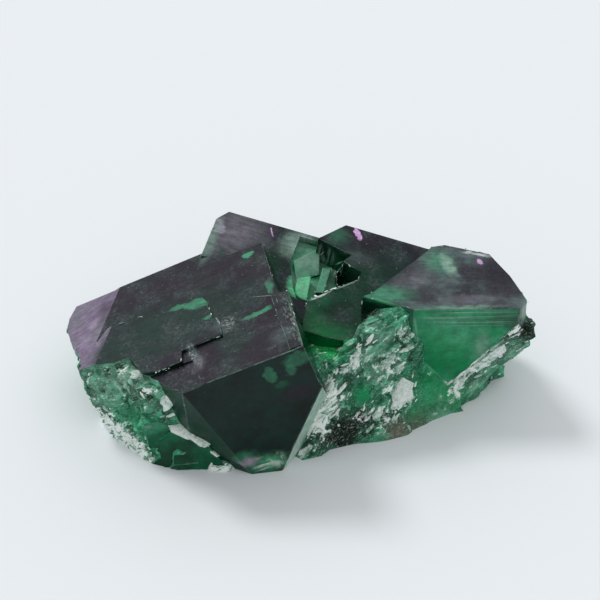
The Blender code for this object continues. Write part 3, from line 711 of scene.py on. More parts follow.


# Windows and zones in the skin, with a few patches of painted shade and painted light among them: crystal,
# centre a, b, n and half sizes a, b, n in millimetres, turn about n in degrees, colour, strength and softness
# of the border, and for a striped one how finely its stripes divide each half size.
WINDOWS = (
    ("main", (-17.9, 12.0, 0.4), (9.5, 4.8, 0.9), 0, "slate", 0.95, 0.4),
    ("main", (-6.0, 14.0, 0.0), (4.0, 3.5, 0.9), 0, "slate", 0.4, 0.8),
    ("main", (-3.7, 21.8, 0.0), (0.95, 0.62, 0.6), 10, "leaf", 0.9, 0.2),
    ("main", (-4.3, 9.4, 0.0), (2.1, 0.55, 0.6), 8, "leaf", 0.7, 0.3),
    ("main", (-11.4, 15.3, 0.4), (1.6, 1.1, 0.6), -4, "leaf", 0.7, 0.3),
    ("main", (-13.6, 16.0, 0.4), (1.6, 0.5, 0.6), -4, "leaf", 0.6, 0.4),
    ("main", (-2.0, 13.6, 0.0), (0.6, 1.6, 0.6), 0, "leaf", 0.5, 0.4),
    ("main", (-10.4, 11.8, 0.4), (0.8, 0.35, 0.5), 0, "leaf", 0.6, 0.3),
    # Pale grey patch on the top face: painted reflection of the sky.
    ("main", (-1.9, 3.4, 0.0), (2.0, 1.6, 0.6), 20, "haze", 0.5, 0.5),
    ("main", (-8.4, 9.5, 0.0), (1.2, 1.4, 0.8), 0, "frost", 0.6, 0.8, (2.0, 6.0, 1.0)),
    ("main", (-0.6, 6.0, 0.0), (0.8, 5.0, 0.8), 0, "ash", 0.35, 0.6, (3.0, 8.0, 1.0)),
    ("main", (-23.3, 22.0, -0.4), (1.8, 3.0, 1.2), 0, "dusk", 0.6, 0.9),
    ("main", (-25.2, 20.6, -0.5), (1.3, 1.0, 1.0), 30, "petal", 0.3, 0.8),
    ("main", (-26.6, 17.6, -0.7), (1.2, 1.4, 1.0), 0, "petal", 0.2, 0.8),
    # Pale grey patches on the top face: painted reflection of the sky.
    ("main", (-9.2, 9.2, 0.0), (1.2, 1.5, 0.9), 0, "haze", 0.6, 0.6),
    ("main", (-13.1, 6.0, 0.1), (0.6, 2.7, 0.8), 10, "haze", 0.8, 0.5),
    ("main", (-13.1, 6.0, 0.1), (0.5, 2.6, 0.8), 10, "ash", 0.6, 0.6, (3.0, 5.0, 1.0)),
    ("main", (-13.0, 4.0, 0.0), (1.0, 1.6, 0.9), 0, "mauve", 0.35, 0.6),
    ("main", (-5.1, 0.0, -2.3), (0.8, 0.7, 1.3), 0, "leaf", 0.55, 0.2),
    ("main", (-1.2, 0.0, -1.5), (2.0, 0.7, 1.1), 0, "leaf", 0.45, 0.3),
    ("main", (-2.6, 0.0, -2.8), (0.7, 0.7, 1.1), 0, "leaf", 0.4, 0.3),
    ("main", (-4.3, 0.0, -4.3), (0.8, 0.7, 0.5), 0, "fern", 0.6, 0.4),
    ("main", (-3.0, 0.0, -6.4), (2.4, 0.7, 1.4), 0, "dusk", 0.8, 0.6),
    ("main", (-9.0, 0.0, -4.6), (3.6, 0.9, 3.2), 0, "abyss", 0.8, 0.9),
    ("main", (-7.2, 0.0, -10.0), (2.6, 0.9, 3.0), 0, "slate", 0.5, 0.9),
    ("main", (-12.4, 0.0, -13.1), (1.6, 0.9, 1.1), 0, "leaf", 0.7, 0.8),
    ("main", (-10.7, 0.0, -14.9), (1.9, 0.9, 1.5), 0, "leaf", 0.85, 0.8),
    ("main", (-9.0, 0.0, -15.4), (1.8, 0.9, 1.5), 0, "bright", 0.75, 0.8),
    ("main", (-12.0, 0.0, -13.9), (1.5, 0.9, 0.7), 0, "petal", 0.9, 0.8),
    ("main", (-10.4, 0.0, -15.0), (1.9, 0.9, 1.3), -40, "frost", 0.95, 0.7, (0.7, 0.4, 2.6)),
    ("main", (-8.6, 0.0, -15.2), (1.5, 0.9, 1.3), 40, "frost", 0.8, 0.7, (2.6, 0.4, 0.7)),
    ("main", (-21.8, 4.7, -6.9), (2.3, 1.4, 1.3), 0, "moss", 0.85, 0.5),
    ("main", (-21.6, 4.7, -6.7), (2.0, 1.4, 1.0), 0, "sage", 0.5, 0.8, (2.0, 2.0, 4.0)),
    ("twin", (-12.6, 14.6, -3.24), (4.6, 5.2, 0.7), 0, "mauve", 0.95, 0.9),
    ("twin", (-15.2, 15.0, -3.24), (0.9, 1.6, 0.5), 35, "petal", 0.7, 0.4),
    ("twin", (-15.4, 12.6, -3.24), (0.9, 4.5, 0.7), 0, "sage", 0.55, 0.7),
    ("twin", (-8.2, 10.6, -3.24), (3.4, 3.6, 0.7), 0, "deep", 0.95, 0.7),
    ("twin", (-4.4, 15.8, -3.24), (2.3, 3.0, 1.2), -20, "sage", 0.75, 0.6),
    ("twin", (-2.4, 9.2, -3.4), (1.9, 2.2, 0.9), 0, "bright", 0.9, 0.3),
    ("twin", (-2.4, 13.4, -3.4), (2.2, 2.2, 1.0), 0, "sage", 0.7, 0.6),
    # Painted shade in the right side of the hollow.
    ("twin", (2.4, 12.0, -3.2), (1.5, 1.8, 1.2), 0, "night", 0.95, 0.3),
    ("twin", (-8.3, 16.6, -3.24), (0.12, 0.8, 0.4), 28, "blush", 0.8, 0.2),
    ("twin", (2.7, 17.5, 0.0), (0.42, 1.15, 0.5), 32, "blush", 1.0, 0.2),
    ("twin", (0.3, 16.4, 0.0), (1.8, 1.8, 0.6), 0, "leaf", 0.3, 0.7),
    ("twin", (-4.2, 16.4, -3.24), (1.9, 2.4, 1.2), -25, "petal", 0.4, 0.5, (9.0, 0.4, 0.4)),
    ("twin", (-0.6, 14.6, -2.4), (2.6, 1.2, 1.8), 20, "sage", 0.6, 0.5, (9.0, 0.4, 0.4)),
    ("twin", (5.0, 9.0, 0.0), (6.5, 6.5, 1.4), 0, "deep", 0.9, 0.7),
    # Pale grey patch on the top face: painted reflection of the sky.
    ("twin", (3.2, 13.6, 0.0), (2.4, 1.6, 0.6), 0, "haze", 0.5, 0.8),
    ("twin", (3.4, 3.4, 0.0), (6.0, 5.0, 1.6), 0, "deep", 0.95, 0.6),
    ("twin", (0.8, 5.4, 0.0), (1.8, 2.6, 0.6), 0, "fern", 0.35, 0.8),
    ("twin", (3.4, 2.6, 0.0), (2.4, 1.6, 0.6), 30, "dusk", 0.6, 0.9),
    ("twin", (2.8, 4.4, 0.0), (3.0, 0.8, 0.6), 35, "night", 0.5, 0.9),
    ("right", (17.4, 4.6, 0.0), (2.0, 2.8, 0.5), 12, "leaf", 0.5, 0.9),
    ("right", (18.5, 4.0, 0.0), (0.9, 2.7, 0.5), 16, "sage", 0.75, 0.6),
    ("right", (22.4, 6.4, 0.0), (2.2, 0.35, 0.4), -14, "frost", 0.5, 0.5),
    ("right", (13.5, 0.5, 0.0), (3.5, 2.0, 0.5), 30, "mauve", 0.4, 0.9),
    ("right", (20.8, -3.2, 0.0), (4.0, 1.0, 0.5), 0, "mauve", 0.5, 0.8),
    ("right", (27.7, -3.8, -1.7), (1.2, 2.0, 1.7), 0, "sage", 0.7, 0.6),
    # Painted light let through the thin right cube from behind.
    ("right", (16.4, -5.4, -9.0), (3.4, 1.2, 2.6), 0, "glow", 0.9, 0.8),
    ("right", (22.6, 4.7, 0.0), (0.4, 0.6, 0.4), 20, "blush", 0.9, 0.3),
    ("right", (10.0, -2.2, 0.0), (4.2, 2.0, 0.8), 0, "leaf", 0.55, 0.8),
    ("right", (25.5, 2.5, 0.0), (3.4, 4.4, 0.8), 0, "dusk", 0.85, 0.5),
    ("right", (16.5, -5.2, -2.4), (7.0, 1.0, 2.6), 0, "leaf", 0.6, 0.8),
    ("right", (19.0, -5.2, -5.6), (3.2, 1.0, 2.4), 0, "bright", 0.22, 0.9),
    ("right", (22.0, -5.2, -6.8), (1.5, 1.0, 3.6), 0, "leaf", 0.55, 0.9),
    ("right", (22.6, -5.2, -6.2), (1.1, 1.0, 3.0), 0, "sage", 0.55, 0.9),
    ("right", (25.2, -5.2, -1.6), (3.0, 1.0, 1.8), 0, "night", 0.6, 0.7),
    ("right", (26.8, -5.0, -3.4), (1.4, 1.0, 2.4), 0, "night", 0.6, 0.7),
    ("right", (21.4, -5.2, -1.2), (6.6, 1.0, 1.9), 0, "sage", 0.8, 0.5, (0.3, 0.3, 11.0)),
    ("right", (16.4, -5.2, -7.0), (3.0, 1.0, 2.0), 0, "fern", 0.4, 0.6, (0.35, 0.35, 7.0)),
    ("twin", (-5.0, 18.0, -8.6), (2.6, 0.9, 1.6), 0, "leaf", 0.35, 0.5),
    ("twin", (-1.0, 18.0, -15.0), (4.5, 0.9, 2.8), 0, "mauve", 0.35, 0.9),
    ("twin", (6.0, 18.4, -7.5), (1.6, 0.9, 2.4), 0, "leaf", 0.35, 0.5),
    ("twin", (-15.8, 12.5, -8.0), (0.9, 1.8, 1.4), 0, "leaf", 0.35, 0.5),
    ("rear", (-0.8, 1.4, 0.0), (1.0, 1.4, 0.6), 15, "leaf", 0.4, 0.5),
    ("rear_right", (0.4, 4.4, -4.3), (2.2, 0.9, 1.6), 0, "mauve", 0.35, 0.9),
)


BATCH = 6  # windows or scratches worked out at a time, since the renderer keeps only so many values at once
NOTHING = 1e-9  # metres, far too little to see


def added(tree, place, offset, share):
    """The place moved by that share of an offset."""
    return add(tree, "ShaderNodeVectorMath", {"operation": "MULTIPLY_ADD", 1: (share,) * 3}, {
        0: offset, 2: place}).outputs[0]


def from_middle(tree, place):
    """How far the place is from its origin."""
    return add(tree, "ShaderNodeVectorMath", {"operation": "LENGTH"}, {0: place}).outputs["Value"]


def windows_over(tree, under, place, straight, colours):
    """Lays every window over the skin colour, with ragged borders and straight stripes."""
    for number, (crystal, centre, half, turn, tone, strength, softness, *stripes) in enumerate(WINDOWS):
        if number % BATCH == 0:
            place, straight = (added(tree, way, under, NOTHING) for way in (place, straight))
        spot = corner_of(crystal) + axes_of(crystal) @ Vector(centre)
        tilt = (axes_of(crystal) @ Matrix.Rotation(math.radians(turn), 3, "Z")).to_euler()
        fit = {"vector_type": "TEXTURE", "Location": spot * MM, "Rotation": tilt,
               "Scale": [size * MM for size in half]}
        local = add(tree, "ShaderNodeMapping", fit, {"Vector": place}).outputs[0]
        share = ramp(tree, from_middle(tree, local), 1 + softness / 2, 1 - softness, 0.0, strength)
        if stripes:
            ruled = add(tree, "ShaderNodeMapping", fit, {"Vector": straight}).outputs[0]
            across = add(tree, "ShaderNodeMapping", {"Scale": stripes[0]}, {"Vector": ruled}).outputs[0]
            lines = add(tree, "ShaderNodeTexNoise", {"Scale": 1.0, "Detail": 2.0}, {"Vector": across})
            lines = ramp(tree, lines.outputs["Fac"], *LEVELS["stripes"])
            share = maths(tree, "MULTIPLY", share, lines)
        under = blend(tree, share, under, getattr(colours, tone))
    return under


# Fine pale lines, where an edge is bruised or a cleavage plane has opened: ends and width in millimetres,
# colour and strength.
SCRATCHES = (
    ((2.9, 8.8, 14.1), (4.4, 7.9, 16.4), 0.11, "frost", 0.8),
    ((2.3, 9.2, 14.3), (3.3, 8.5, 16.2), 0.09, "sage", 0.9),
    ((4.4, 8.0, 12.8), (5.9, 7.1, 14.4), 0.12, "frost", 0.8),
    ((1.5, -1.8, 14.8), (4.3, 0.2, 14.9), 0.20, "frost", 0.75),
    ((4.4, 0.2, 14.9), (7.8, 2.3, 15.0), 0.16, "sage", 0.8),
    ((0.7, -15.8, 19.0), (-0.2, -9.6, 18.8), 0.14, "sage", 0.7),
    ((0.8, -15.9, 19.0), (2.5, -15.8, 13.8), 0.12, "leaf", 0.9),
    ((-0.1, -6.9, 16.4), (0.8, -9.2, 15.1), 0.13, "ash", 0.7),
    ((0.3, -6.3, 15.2), (1.7, -8.3, 12.0), 0.10, "sage", 0.7),
    ((8.3, -1.4, 15.3), (13.8, -3.9, 15.0), 0.20, "bright", 0.6),
    ((14.6, -4.2, 14.0), (15.1, -4.3, 10.6), 0.14, "sage", 0.6),
    ((15.2, -4.5, 10.0), (15.8, -5.8, 5.6), 0.16, "sage", 0.6),
    ((-5.7, -3.8, 17.0), (-2.8, -4.7, 18.0), 0.07, "ash", 0.5),
    ((-2.8, -4.7, 18.0), (-2.4, -6.6, 18.2), 0.07, "ash", 0.5),
    ((-12.7, -13.0, 14.3), (-11.5, -17.4, 14.8), 0.07, "ash", 0.4),
    ((8.0, -1.3, 14.2), (7.9, -5.8, 13.5), 0.08, "sage", 0.4),
    ((-11.6, -2.3, 15.6), (-10.6, -5.1, 15.7), 0.15, "ash", 0.8),
    ((-10.4, -5.4, 15.7), (-9.4, -8.3, 16.0), 0.14, "ash", 0.8),
    ((-9.4, -8.4, 16.0), (-9.0, -10.2, 15.9), 0.12, "sage", 0.6),
)


def scratches_over(tree, under, place, colours):
    """Draws every scratch over the colour."""
    for number, (start, end, width, tone, strength) in enumerate(SCRATCHES):
        if number % BATCH == 0:
            place = added(tree, place, under, NOTHING)
        start, end = Vector(start), Vector(end)
        local = add(tree, "ShaderNodeMapping", {
            "vector_type": "TEXTURE", "Location": (start + end) / 2 * MM,
            "Rotation": (end - start).to_track_quat("X", "Z").to_euler(),
            "Scale": ((end - start).length / 2 * MM, width * MM, width * MM)}, {"Vector": place}).outputs[0]
        share = ramp(tree, from_middle(tree, local), 1.3, 0.5, 0.0, strength)
        under = blend(tree, share, under, getattr(colours, tone))
    return under


def fluorite(colours):
    """Zoned fluorite, grown and cleaved. Growth and cleavage faces are glassy and let light into a dark green
    body under a dusky skin; broken faces are shattered, so they scatter white and hide the depth."""
    material, tree = clear_material("zoned_fluorite")
    place = add(tree, "ShaderNodeTexCoord").outputs["Object"]
    tone, cloud = (
        add(tree, "ShaderNodeAttribute", {"attribute_name": name}).outputs["Color"]
        for name in ("tone", "cloud"))
    lattice = add(tree, "ShaderNodeAttribute", {"attribute_name": "lattice"}).outputs["Vector"]
    glassy, clear, rough, worn, bloomed, frost, painted_shade, rust, clean, milk, emerald, raised, shard = (
        add(tree, "ShaderNodeAttribute", {"attribute_name": name}).outputs["Fac"]
        for name in ("glassy", "clear", "rough", "worn", "bloomed", "frost", "painted_shade", "rust", "clean", "milk",
                     "emerald", "raised", "shard"))

    # Borders wander by about half a millimetre.
    wander = add(tree, "ShaderNodeVectorMath", {"operation": "SUBTRACT", 1: (0.5,) * 3}, {
        0: noise(tree, place, "wander").outputs["Color"]}).outputs[0]
    ragged = added(tree, place, wander, BORDER_WANDER * MM)

    # Growth lines run along a crystal's first axis.
    along = add(tree, "ShaderNodeMapping", {"Scale": LINE_STRETCH}, {"Vector": lattice}).outputs[0]
    lines = noise(tree, along, "lines").outputs["Fac"]

    # Skin: cloudy green and purple zones a few millimetres across, fine mottling and pale pin-pricks.
    skin = blend(tree, patches(tree, place, "clouds"), tone, cloud)
    skin = windows_over(tree, skin, ragged, place, colours)
    skin = brightened(tree, skin, patches(tree, place, "mottle"))
    lined = maths(tree, "MULTIPLY_ADD", bloomed, *LINED)
    shade = maths(tree, "MULTIPLY_ADD", ramp(tree, lines, *LEVELS["lines"]), lined, 1.0)
    skin = brightened(tree, skin, shade)
    bloom = maths(tree, "MULTIPLY", patches(tree, place, "bloom"), patches(tree, place, "grit"))
    skin = blend(tree, maths(tree, "MULTIPLY", bloom, bloomed), skin, colours.mauve)
    skin = blend(tree, maths(tree, "MULTIPLY", patches(tree, place, "pricks"), lined), skin, colours.frost)
    skin = blend(tree, emerald, skin, colours.emerald)
    skin = blend(tree, maths(tree, "MULTIPLY", worn, patches(tree, place, "wear")), skin, colours.sage)

    # Broken faces: moss green that varies from splinter to splinter, painted shade in the hollows and low
    # parts, stain in some hollows, and white where they are shattered.
    veins = maths(tree, "MULTIPLY_ADD", patches(tree, lattice, "veins"), *VEINED)
    broken = blend(tree, veins, colours.deep, colours.moss)
    broken = blend(tree, maths(tree, "MULTIPLY", milk, patches(tree, lattice, "veils")), broken, colours.sage)
    # Each splinter's own number varies its tone at random; height adds painted shade, darker where low and a
    # little lighter where raised.
    for share, levels in ((shard, LEVELS["shard"]), (raised, LEVELS["raised"])):
        broken = brightened(tree, broken, ramp(tree, share, *levels))
    # Painted shade darkens the hollows; the emerald is light let through a thin corner.
    for share, over in ((clean, colours.glow), (painted_shade, colours.painted_shade), (emerald, colours.emerald),
                        (rust, colours.rust)):
        broken = blend(tree, share, broken, over)
    splinters = add(tree, "ShaderNodeMapping", {"Scale": SPLINTER_STRETCH}, {"Vector": lattice}).outputs[0]
    specks = noise(tree, splinters, "specks").outputs["Fac"]
    dust = maths(tree, "MULTIPLY", patches(tree, splinters, "dust"), maths(tree, "SUBTRACT", 1.0, clean))
    broken = blend(tree, dust, broken, colours.frost)
    gather, more, most = (
        maths(tree, "MULTIPLY", share, weight) for share, weight in zip((frost, raised, shard), FROSTING))
    for addend in (more, most, specks):
        gather = maths(tree, "ADD", gather, addend)
    broken = blend(tree, ramp(tree, gather, *LEVELS["white"]), broken, colours.frost)

    base = blend(tree, glassy, broken, skin)
    base = scratches_over(tree, base, added(tree, place, wander, SCRATCH_WANDER * MM), colours)
    film = noise(tree, place, "film").outputs["Fac"]
    rough = maths(tree, "ADD", rough, maths(tree, "MULTIPLY", film, FILM_ROUGHNESS))
    pits = noise(tree, place, "pits").outputs["Fac"]
    height = maths(tree, "ADD", pits, maths(tree, "MULTIPLY", lines, LINE_RELIEF))
    bump = add(tree, "ShaderNodeBump", {"Strength": 0.35, "Distance": 0.05 * MM}, {"Height": height})

    shader = add(tree, "ShaderNodeBsdfPrincipled", {
        "IOR": FLUORITE_IOR, "Specular IOR Level": SKIN_SHINE, "Metallic": 0.0}, {
        "Base Color": base, "Roughness": rough, "Transmission Weight": clear, "Normal": bump.outputs[0]})
    depth = add(tree, "ShaderNodeVolumeAbsorption", {
        "Color": (*colours.depths, 1.0), "Density": DEPTH_DENSITY})
    add(tree, "ShaderNodeOutputMaterial", {}, {"Surface": shader.outputs[0], "Volume": depth.outputs[0]})
    return material


def shattered(colours):
    """Loose cleavage flakes: thin, cracked through and rough, so they look white with a little green."""
    material, tree = clear_material("shattered_fluorite")
    place = add(tree, "ShaderNodeTexCoord").outputs["Object"]
    own = add(tree, "ShaderNodeAttribute", {"attribute_name": "own"}).outputs["Fac"]
    cracks = noise(tree, place, "cracks").outputs["Fac"]
    share = ramp(tree, maths(tree, "MULTIPLY_ADD", own, 0.5, cracks), *LEVELS["flake"])
    base = blend(tree, share, colours.moss, colours.frost)
    bump = add(tree, "ShaderNodeBump", {"Strength": 0.5, "Distance": 0.06 * MM}, {"Height": cracks})
    shader = add(tree, "ShaderNodeBsdfPrincipled", {
        "IOR": FLUORITE_IOR, "Specular IOR Level": FLAKE_SHINE, "Roughness": 0.45,
        "Transmission Weight": 0.1}, {
        "Base Color": base, "Normal": bump.outputs[0]})
    add(tree, "ShaderNodeOutputMaterial", {}, {"Surface": shader.outputs[0]})
    return material


# -------------------------------------------------------------------------------------------- flakes

CHUNKS = 7  # flake patterns with a blunt edge
LENSES = 4  # flake patterns with a thin edge, for the big flakes
FLAKE_SEED = 11


def flake_patterns():
    """Models flakes one millimetre wide, first the chunks and then the lenses. Returns each one's points and
    faces."""
    draw = np.random.default_rng(FLAKE_SEED + 1)
    patterns = []
    for number in range(CHUNKS + LENSES):
        lens = number >= CHUNKS
        sides = int(draw.integers(11, 15) if lens else draw.integers(5, 9))
        only_nothing()
        bpy.ops.mesh.primitive_circle_add(vertices=sides, radius=0.5, fill_type="NGON")
        flake = bpy.context.object
        for vertex in flake.data.vertices:
            vertex.co.xy *= draw.uniform(0.72, 1.12) if lens else draw.uniform(0.6, 1.15)
        bpy.ops.object.mode_set(mode="EDIT")
        bpy.ops.mesh.select_all(action="SELECT")
        bpy.ops.mesh.extrude_region_move(TRANSFORM_OT_translate={"value": (0, 0, 0.35 if lens else 0.6)})
        bpy.ops.mesh.inset(thickness=0.12, depth=0.3)
        if lens:
            bpy.ops.mesh.inset(thickness=0.11, depth=0.14)
        bpy.ops.mesh.select_all(action="SELECT")
        bpy.ops.mesh.quads_convert_to_tris()
        bpy.ops.mesh.normals_make_consistent(inside=False)
        bpy.ops.object.mode_set(mode="OBJECT")
        points = np.array([vertex.co for vertex in flake.data.vertices])
        points[:, 2] += points[:, 0] * draw.uniform(-0.5, 0.5) * (points[:, 2] > 0.1)
        patterns.append((points, [tuple(face.vertices) for face in flake.data.polygons]))
        bpy.data.objects.remove(flake)
    return patterns


SHOW_SIDE = Vector((0.0, -0.79, 0.61))  # the way the big flakes turn
BIG_FLAKE = 1.8  # millimetres: a longer flake is a big one
ENDS = 24  # millimetres: farther out than this, small flakes are short and lie flat
LONGEST_AT_ENDS = 0.7  # millimetres
FLAKE_WIDTH = 0.27  # millimetres, of a middling small flake
SUNK = 0.45  # how deep a flake sits, in thicknesses
FLAKES_FROM = 0.35  # millimetres: small flakes lie higher than this
FACING_DOWN = -0.75  # and on ground whose normal has a larger z
STRAYS = 0.03  # how likely a flake is outside the frosted spots, where full frost is 1
UNDER_BIG = 1.2  # millimetres around a big flake's place, whose ground gives its tilt
# The flakes that stand out: where, long axis, and length, width and thickness, in millimetres.
BIG_FLAKES = (
    ((-15.6, -15.2, 9.8), (0.15, -0.1, 0.95), (3.3, 1.7, 0.5)),
    ((-13.4, -15.6, 5.4), (0.85, -0.2, -0.30), (4.4, 2.6, 0.5)),
    ((-11.9, -16.3, 4.3), (0.75, -0.2, -0.75), (3.0, 1.9, 0.5)),
    ((-10.7, -16.6, 2.3), (0.5, 0.0, -0.9), (1.7, 0.6, 0.3)),
    ((-19.7, -12.2, 12.2), (0.3, -0.3, 0.9), (1.9, 1.1, 0.4)),
    ((13.4, -7.9, 5.0), (0.45, 0.1, 0.9), (4.2, 2.6, 0.7)),
    ((12.5, -8.4, 3.6), (0.7, 0.1, 0.7), (2.4, 1.2, 0.5)),
    ((7.2, -8.8, 11.5), (0.35, 0.2, 0.95), (3.8, 0.8, 0.4)),
    ((11.2, -7.3, 9.4), (0.8, 0.2, 0.5), (2.6, 1.0, 0.4)),
    ((12.6, -7.0, 8.0), (0.8, 0.2, 0.5), (2.2, 0.9, 0.4)),
    ((25.4, -2.9, 7.8), (0.9, 0.3, 0.3), (3.0, 1.9, 0.6)),
    ((23.4, -3.4, 5.8), (0.8, 0.3, 0.5), (2.2, 0.9, 0.4)),
    ((9.9, -9.8, 3.0), (0.8, 0.1, 0.6), (2.0, 0.9, 0.4)),
)


# Where crystal edges are worn most: place and reach in millimetres, and strength.
WORN_SPOTS = (
    ((-3.2, 3.3, 17.9), 1.6, 0.9), ((-2.4, 0.5, 17.9), 1.4, 0.8), ((-0.6, -8.5, 18.4), 2.2, 0.7),
    ((-9.8, -6.0, 15.6), 1.6, 0.8), ((-10.2, -9.2, 15.2), 1.4, 0.8), ((-15.0, -13.0, 13.8), 3.0, 0.4),
    ((4.0, 3.6, 13.5), 2.6, 0.8), ((9.5, -2.0, 15.0), 2.0, 0.7), ((13.0, -3.6, 15.2), 1.6, 0.6),
    ((21.5, 8.0, 15.3), 3.0, 0.6), ((27.0, -2.0, 15.0), 2.0, 0.5), ((1.4, -17.0, 15.0), 2.0, 0.5),
    ((-12.0, 12.0, 16.5), 2.0, 0.5), ((1.6, -1.7, 14.8), 1.5, 0.8), ((4.6, 0.2, 14.9), 2.0, 0.9),
    ((7.4, 2.2, 15.0), 1.6, 0.8),
)
CRUMB_TURN = math.radians(25)  # crumbs cling to edges that turn more
CRUMB_WIDTH = 0.08  # millimetres, of a middling crumb, and the thickness of all
CRUMB_STRAY = 0.006  # the chance of a crumb at each step along an edge outside the worn spots
CRUMB_SHARE = 0.55  # and how much a worn spot adds to it


def edge_crumbs(draw):
    """Short thin flakes along the worn, sharp edges of the crystals: place, normal, axis and size of each."""
    solid = copy_of_solid("edge_guide")
    mark_zones(solid)
    bm = bmesh.new()
    bm.from_mesh(solid.data)
    zone = bm.faces.layers.int["zone"]
    crumbs = []
    for edge in bm.edges:
        faces = edge.link_faces
        if any(face[zone] in (ZONE["broken"], ZONE["underside"]) for face in faces) or not edge.is_convex:
            continue
        if faces[0].normal.angle(faces[1].normal) < CRUMB_TURN:
            continue
        start, end = (np.array(vertex.co) / MM for vertex in edge.verts)
        length = np.linalg.norm(end - start)
        normal = (faces[0].normal + faces[1].normal).normalized()
        at = draw.uniform(0, 0.4)
        while at < length:
            place = start + (end - start) * at / length
            strength = CRUMB_STRAY + CRUMB_SHARE * spot_sum(place[None], WORN_SPOTS)[0]
            if draw.random() < strength:
                width = CRUMB_WIDTH * math.exp(draw.normal(0, 0.6))
                size = (draw.uniform(0.12, 0.8), width * (1 + strength), CRUMB_WIDTH)
                axis = Vector(end - start).normalized() + Vector(draw.normal(0, 0.3, 3))
                crumbs.append((place + draw.normal(0, 0.08, 3), normal, axis, size))
            at += draw.uniform(0.08, 0.7)
    bm.free()
    bpy.data.objects.remove(solid)
    return crumbs


def flake_spots(crystals, count, draw):
    """Where flakes lie on the broken surface: place and normal, and for a flake that stands out its axis and
    size."""
    points, normals = points_of(crystals.data), read(crystals.data.vertices, "normal")
    on_break = np.zeros(len(points), bool)
    for face, zone in zip(crystals.data.polygons, zone_values(crystals)):
        if zone == ZONE["broken"]:
            on_break[face.vertices] = True
    on_break &= (points[:, 2] > FLAKES_FROM) & (normals[:, 2] > FACING_DOWN)
    weight = on_break * (STRAYS + spot_sum(points, FROST_SPOTS)) * (1 - 0.8 * spot_sum(points, CLEAN_SPOTS))
    # Fewer flakes where the hollows carry painted shade.
    weight *= 1 - 0.7 * spot_sum(points, PAINTED_SHADE_SPOTS)
    chosen = draw.choice(len(points), count, replace=False, p=weight / weight.sum())
    spots = [(points[i], normals[i], None, None) for i in chosen]
    for where, axis, size in BIG_FLAKES:
        index = int(np.argmin(np.linalg.norm(points - np.array(where), axis=1)))
        near = np.linalg.norm(points - points[index], axis=1) < UNDER_BIG
        spots.append((points[index], normals[near].mean(axis=0), Vector(axis), size))
    return spots


def place_flakes(crystals, count):
    """Points, faces and own random numbers of all the flakes, on the broken surface and the worn edges."""
    draw = np.random.default_rng(FLAKE_SEED)
    spots = flake_spots(crystals, count, draw)
    patterns = flake_patterns()
    verts, faces, own = [], [], []
    for place, normal, axis, size in spots + edge_crumbs(draw):
        up = Vector(normal).normalized()
        at_end = abs(place[0]) > ENDS
        if axis is not None:
            up = (up + SHOW_SIDE * min(1.0, size[1])).normalized()
            place = np.array(place) + np.array(up) * 0.12 * size[1]
        else:
            up = (up + Vector(draw.normal(0, 0.15 if at_end else 0.3, 3))).normalized()
            drift = SPLIT.col[0] if place[0] > 0 else axes_of("main").col[0]
            axis = drift + Vector(draw.normal(0, 0.25, 3))
            width = FLAKE_WIDTH * math.exp(draw.normal(0, 0.45))
            size = (width * draw.uniform(1.5, 4.2), width, width * draw.uniform(0.25, 0.6))
            if at_end:
                size = (min(size[0], LONGEST_AT_ENDS), size[1], size[2])
        big = size[0] > BIG_FLAKE
        across = up.cross(axis).normalized()
        basis = np.array((across.cross(up), across, up))
        shape, corners = patterns[-1 - int(draw.integers(LENSES)) if big else int(draw.integers(CHUNKS))]
        first = sum(len(block) for block in verts)
        verts.append(np.array(place) + ((shape - np.array((0, 0, SUNK))) * np.array(size)) @ basis)
        faces.extend(tuple(first + corner for corner in face) for face in corners)
        number = draw.uniform(0.35, 0.7) if big else draw.random()
        own.extend([number + 0.15 * (big and place[0] < 0)] * len(shape))
    return np.concatenate(verts), faces, own


# ------------------------------------------------------------------------------------------ operators


class FLUORITE_OT_crystals(bpy.types.Operator):
    """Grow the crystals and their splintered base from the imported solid"""

    bl_idname = "fluorite.crystals"
    bl_label = "Crystals and broken base"

    def execute(self, context):
        shape = context.scene.fluorite_shape
        colours = context.scene.fluorite_colours
        piece = copy_of_solid("fluorite_crystals")
        mark_zones(piece)
        wear_edges(piece, shape.edge_wear)
        refine_broken(piece, shape.fracture_cell)
        round_off(piece, BLUNTED)
        out, own = splinter(piece, shape)
        paint_broken(piece, out, own)
        paint_zones(piece, colours)
        piece.data.materials.append(fluorite(colours))
        only(piece)
        bpy.ops.object.shade_smooth_by_angle(angle=SMOOTH_TURN)
        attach(piece, "root")
        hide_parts(SOLID)
        return {"FINISHED"}


class FLUORITE_OT_flakes(bpy.types.Operator):
    """Lay loose cleavage flakes on the broken surface"""

    bl_idname = "fluorite.flakes"
    bl_label = "Loose flakes"

    def execute(self, context):
        count = context.scene.fluorite_shape.flake_count
        verts, faces, own = place_flakes(bpy.data.objects["fluorite_crystals"], count)
        verts[:, 2] = np.maximum(verts[:, 2], LOWEST)
        mesh = bpy.data.meshes.new("fluorite_flakes")
        mesh.from_pydata(verts * MM, [], faces)
        store(mesh, "own", "FLOAT", "POINT", own)
        piece = bpy.data.objects.new("fluorite_flakes", mesh)
        context.scene.collection.objects.link(piece)
        edit_all(piece)
        bpy.ops.mesh.normals_make_consistent(inside=False)
        bpy.ops.object.mode_set(mode="OBJECT")
        mesh.materials.append(shattered(context.scene.fluorite_colours))
        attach(piece, "root")
        return {"FINISHED"}


TABLE_WIDTH = 4.0  # metres
LAMP_SIDE = Vector((-6.6, 6.5, 11.0))  # where the lamp stands, seen from the cluster
AIM = Vector((0.3, 1.1, 12.7))  # millimetres: what the camera looks at
SENSOR_WIDTH = 36.0  # millimetres
NEAREST_SEEN = 0.01  # metres


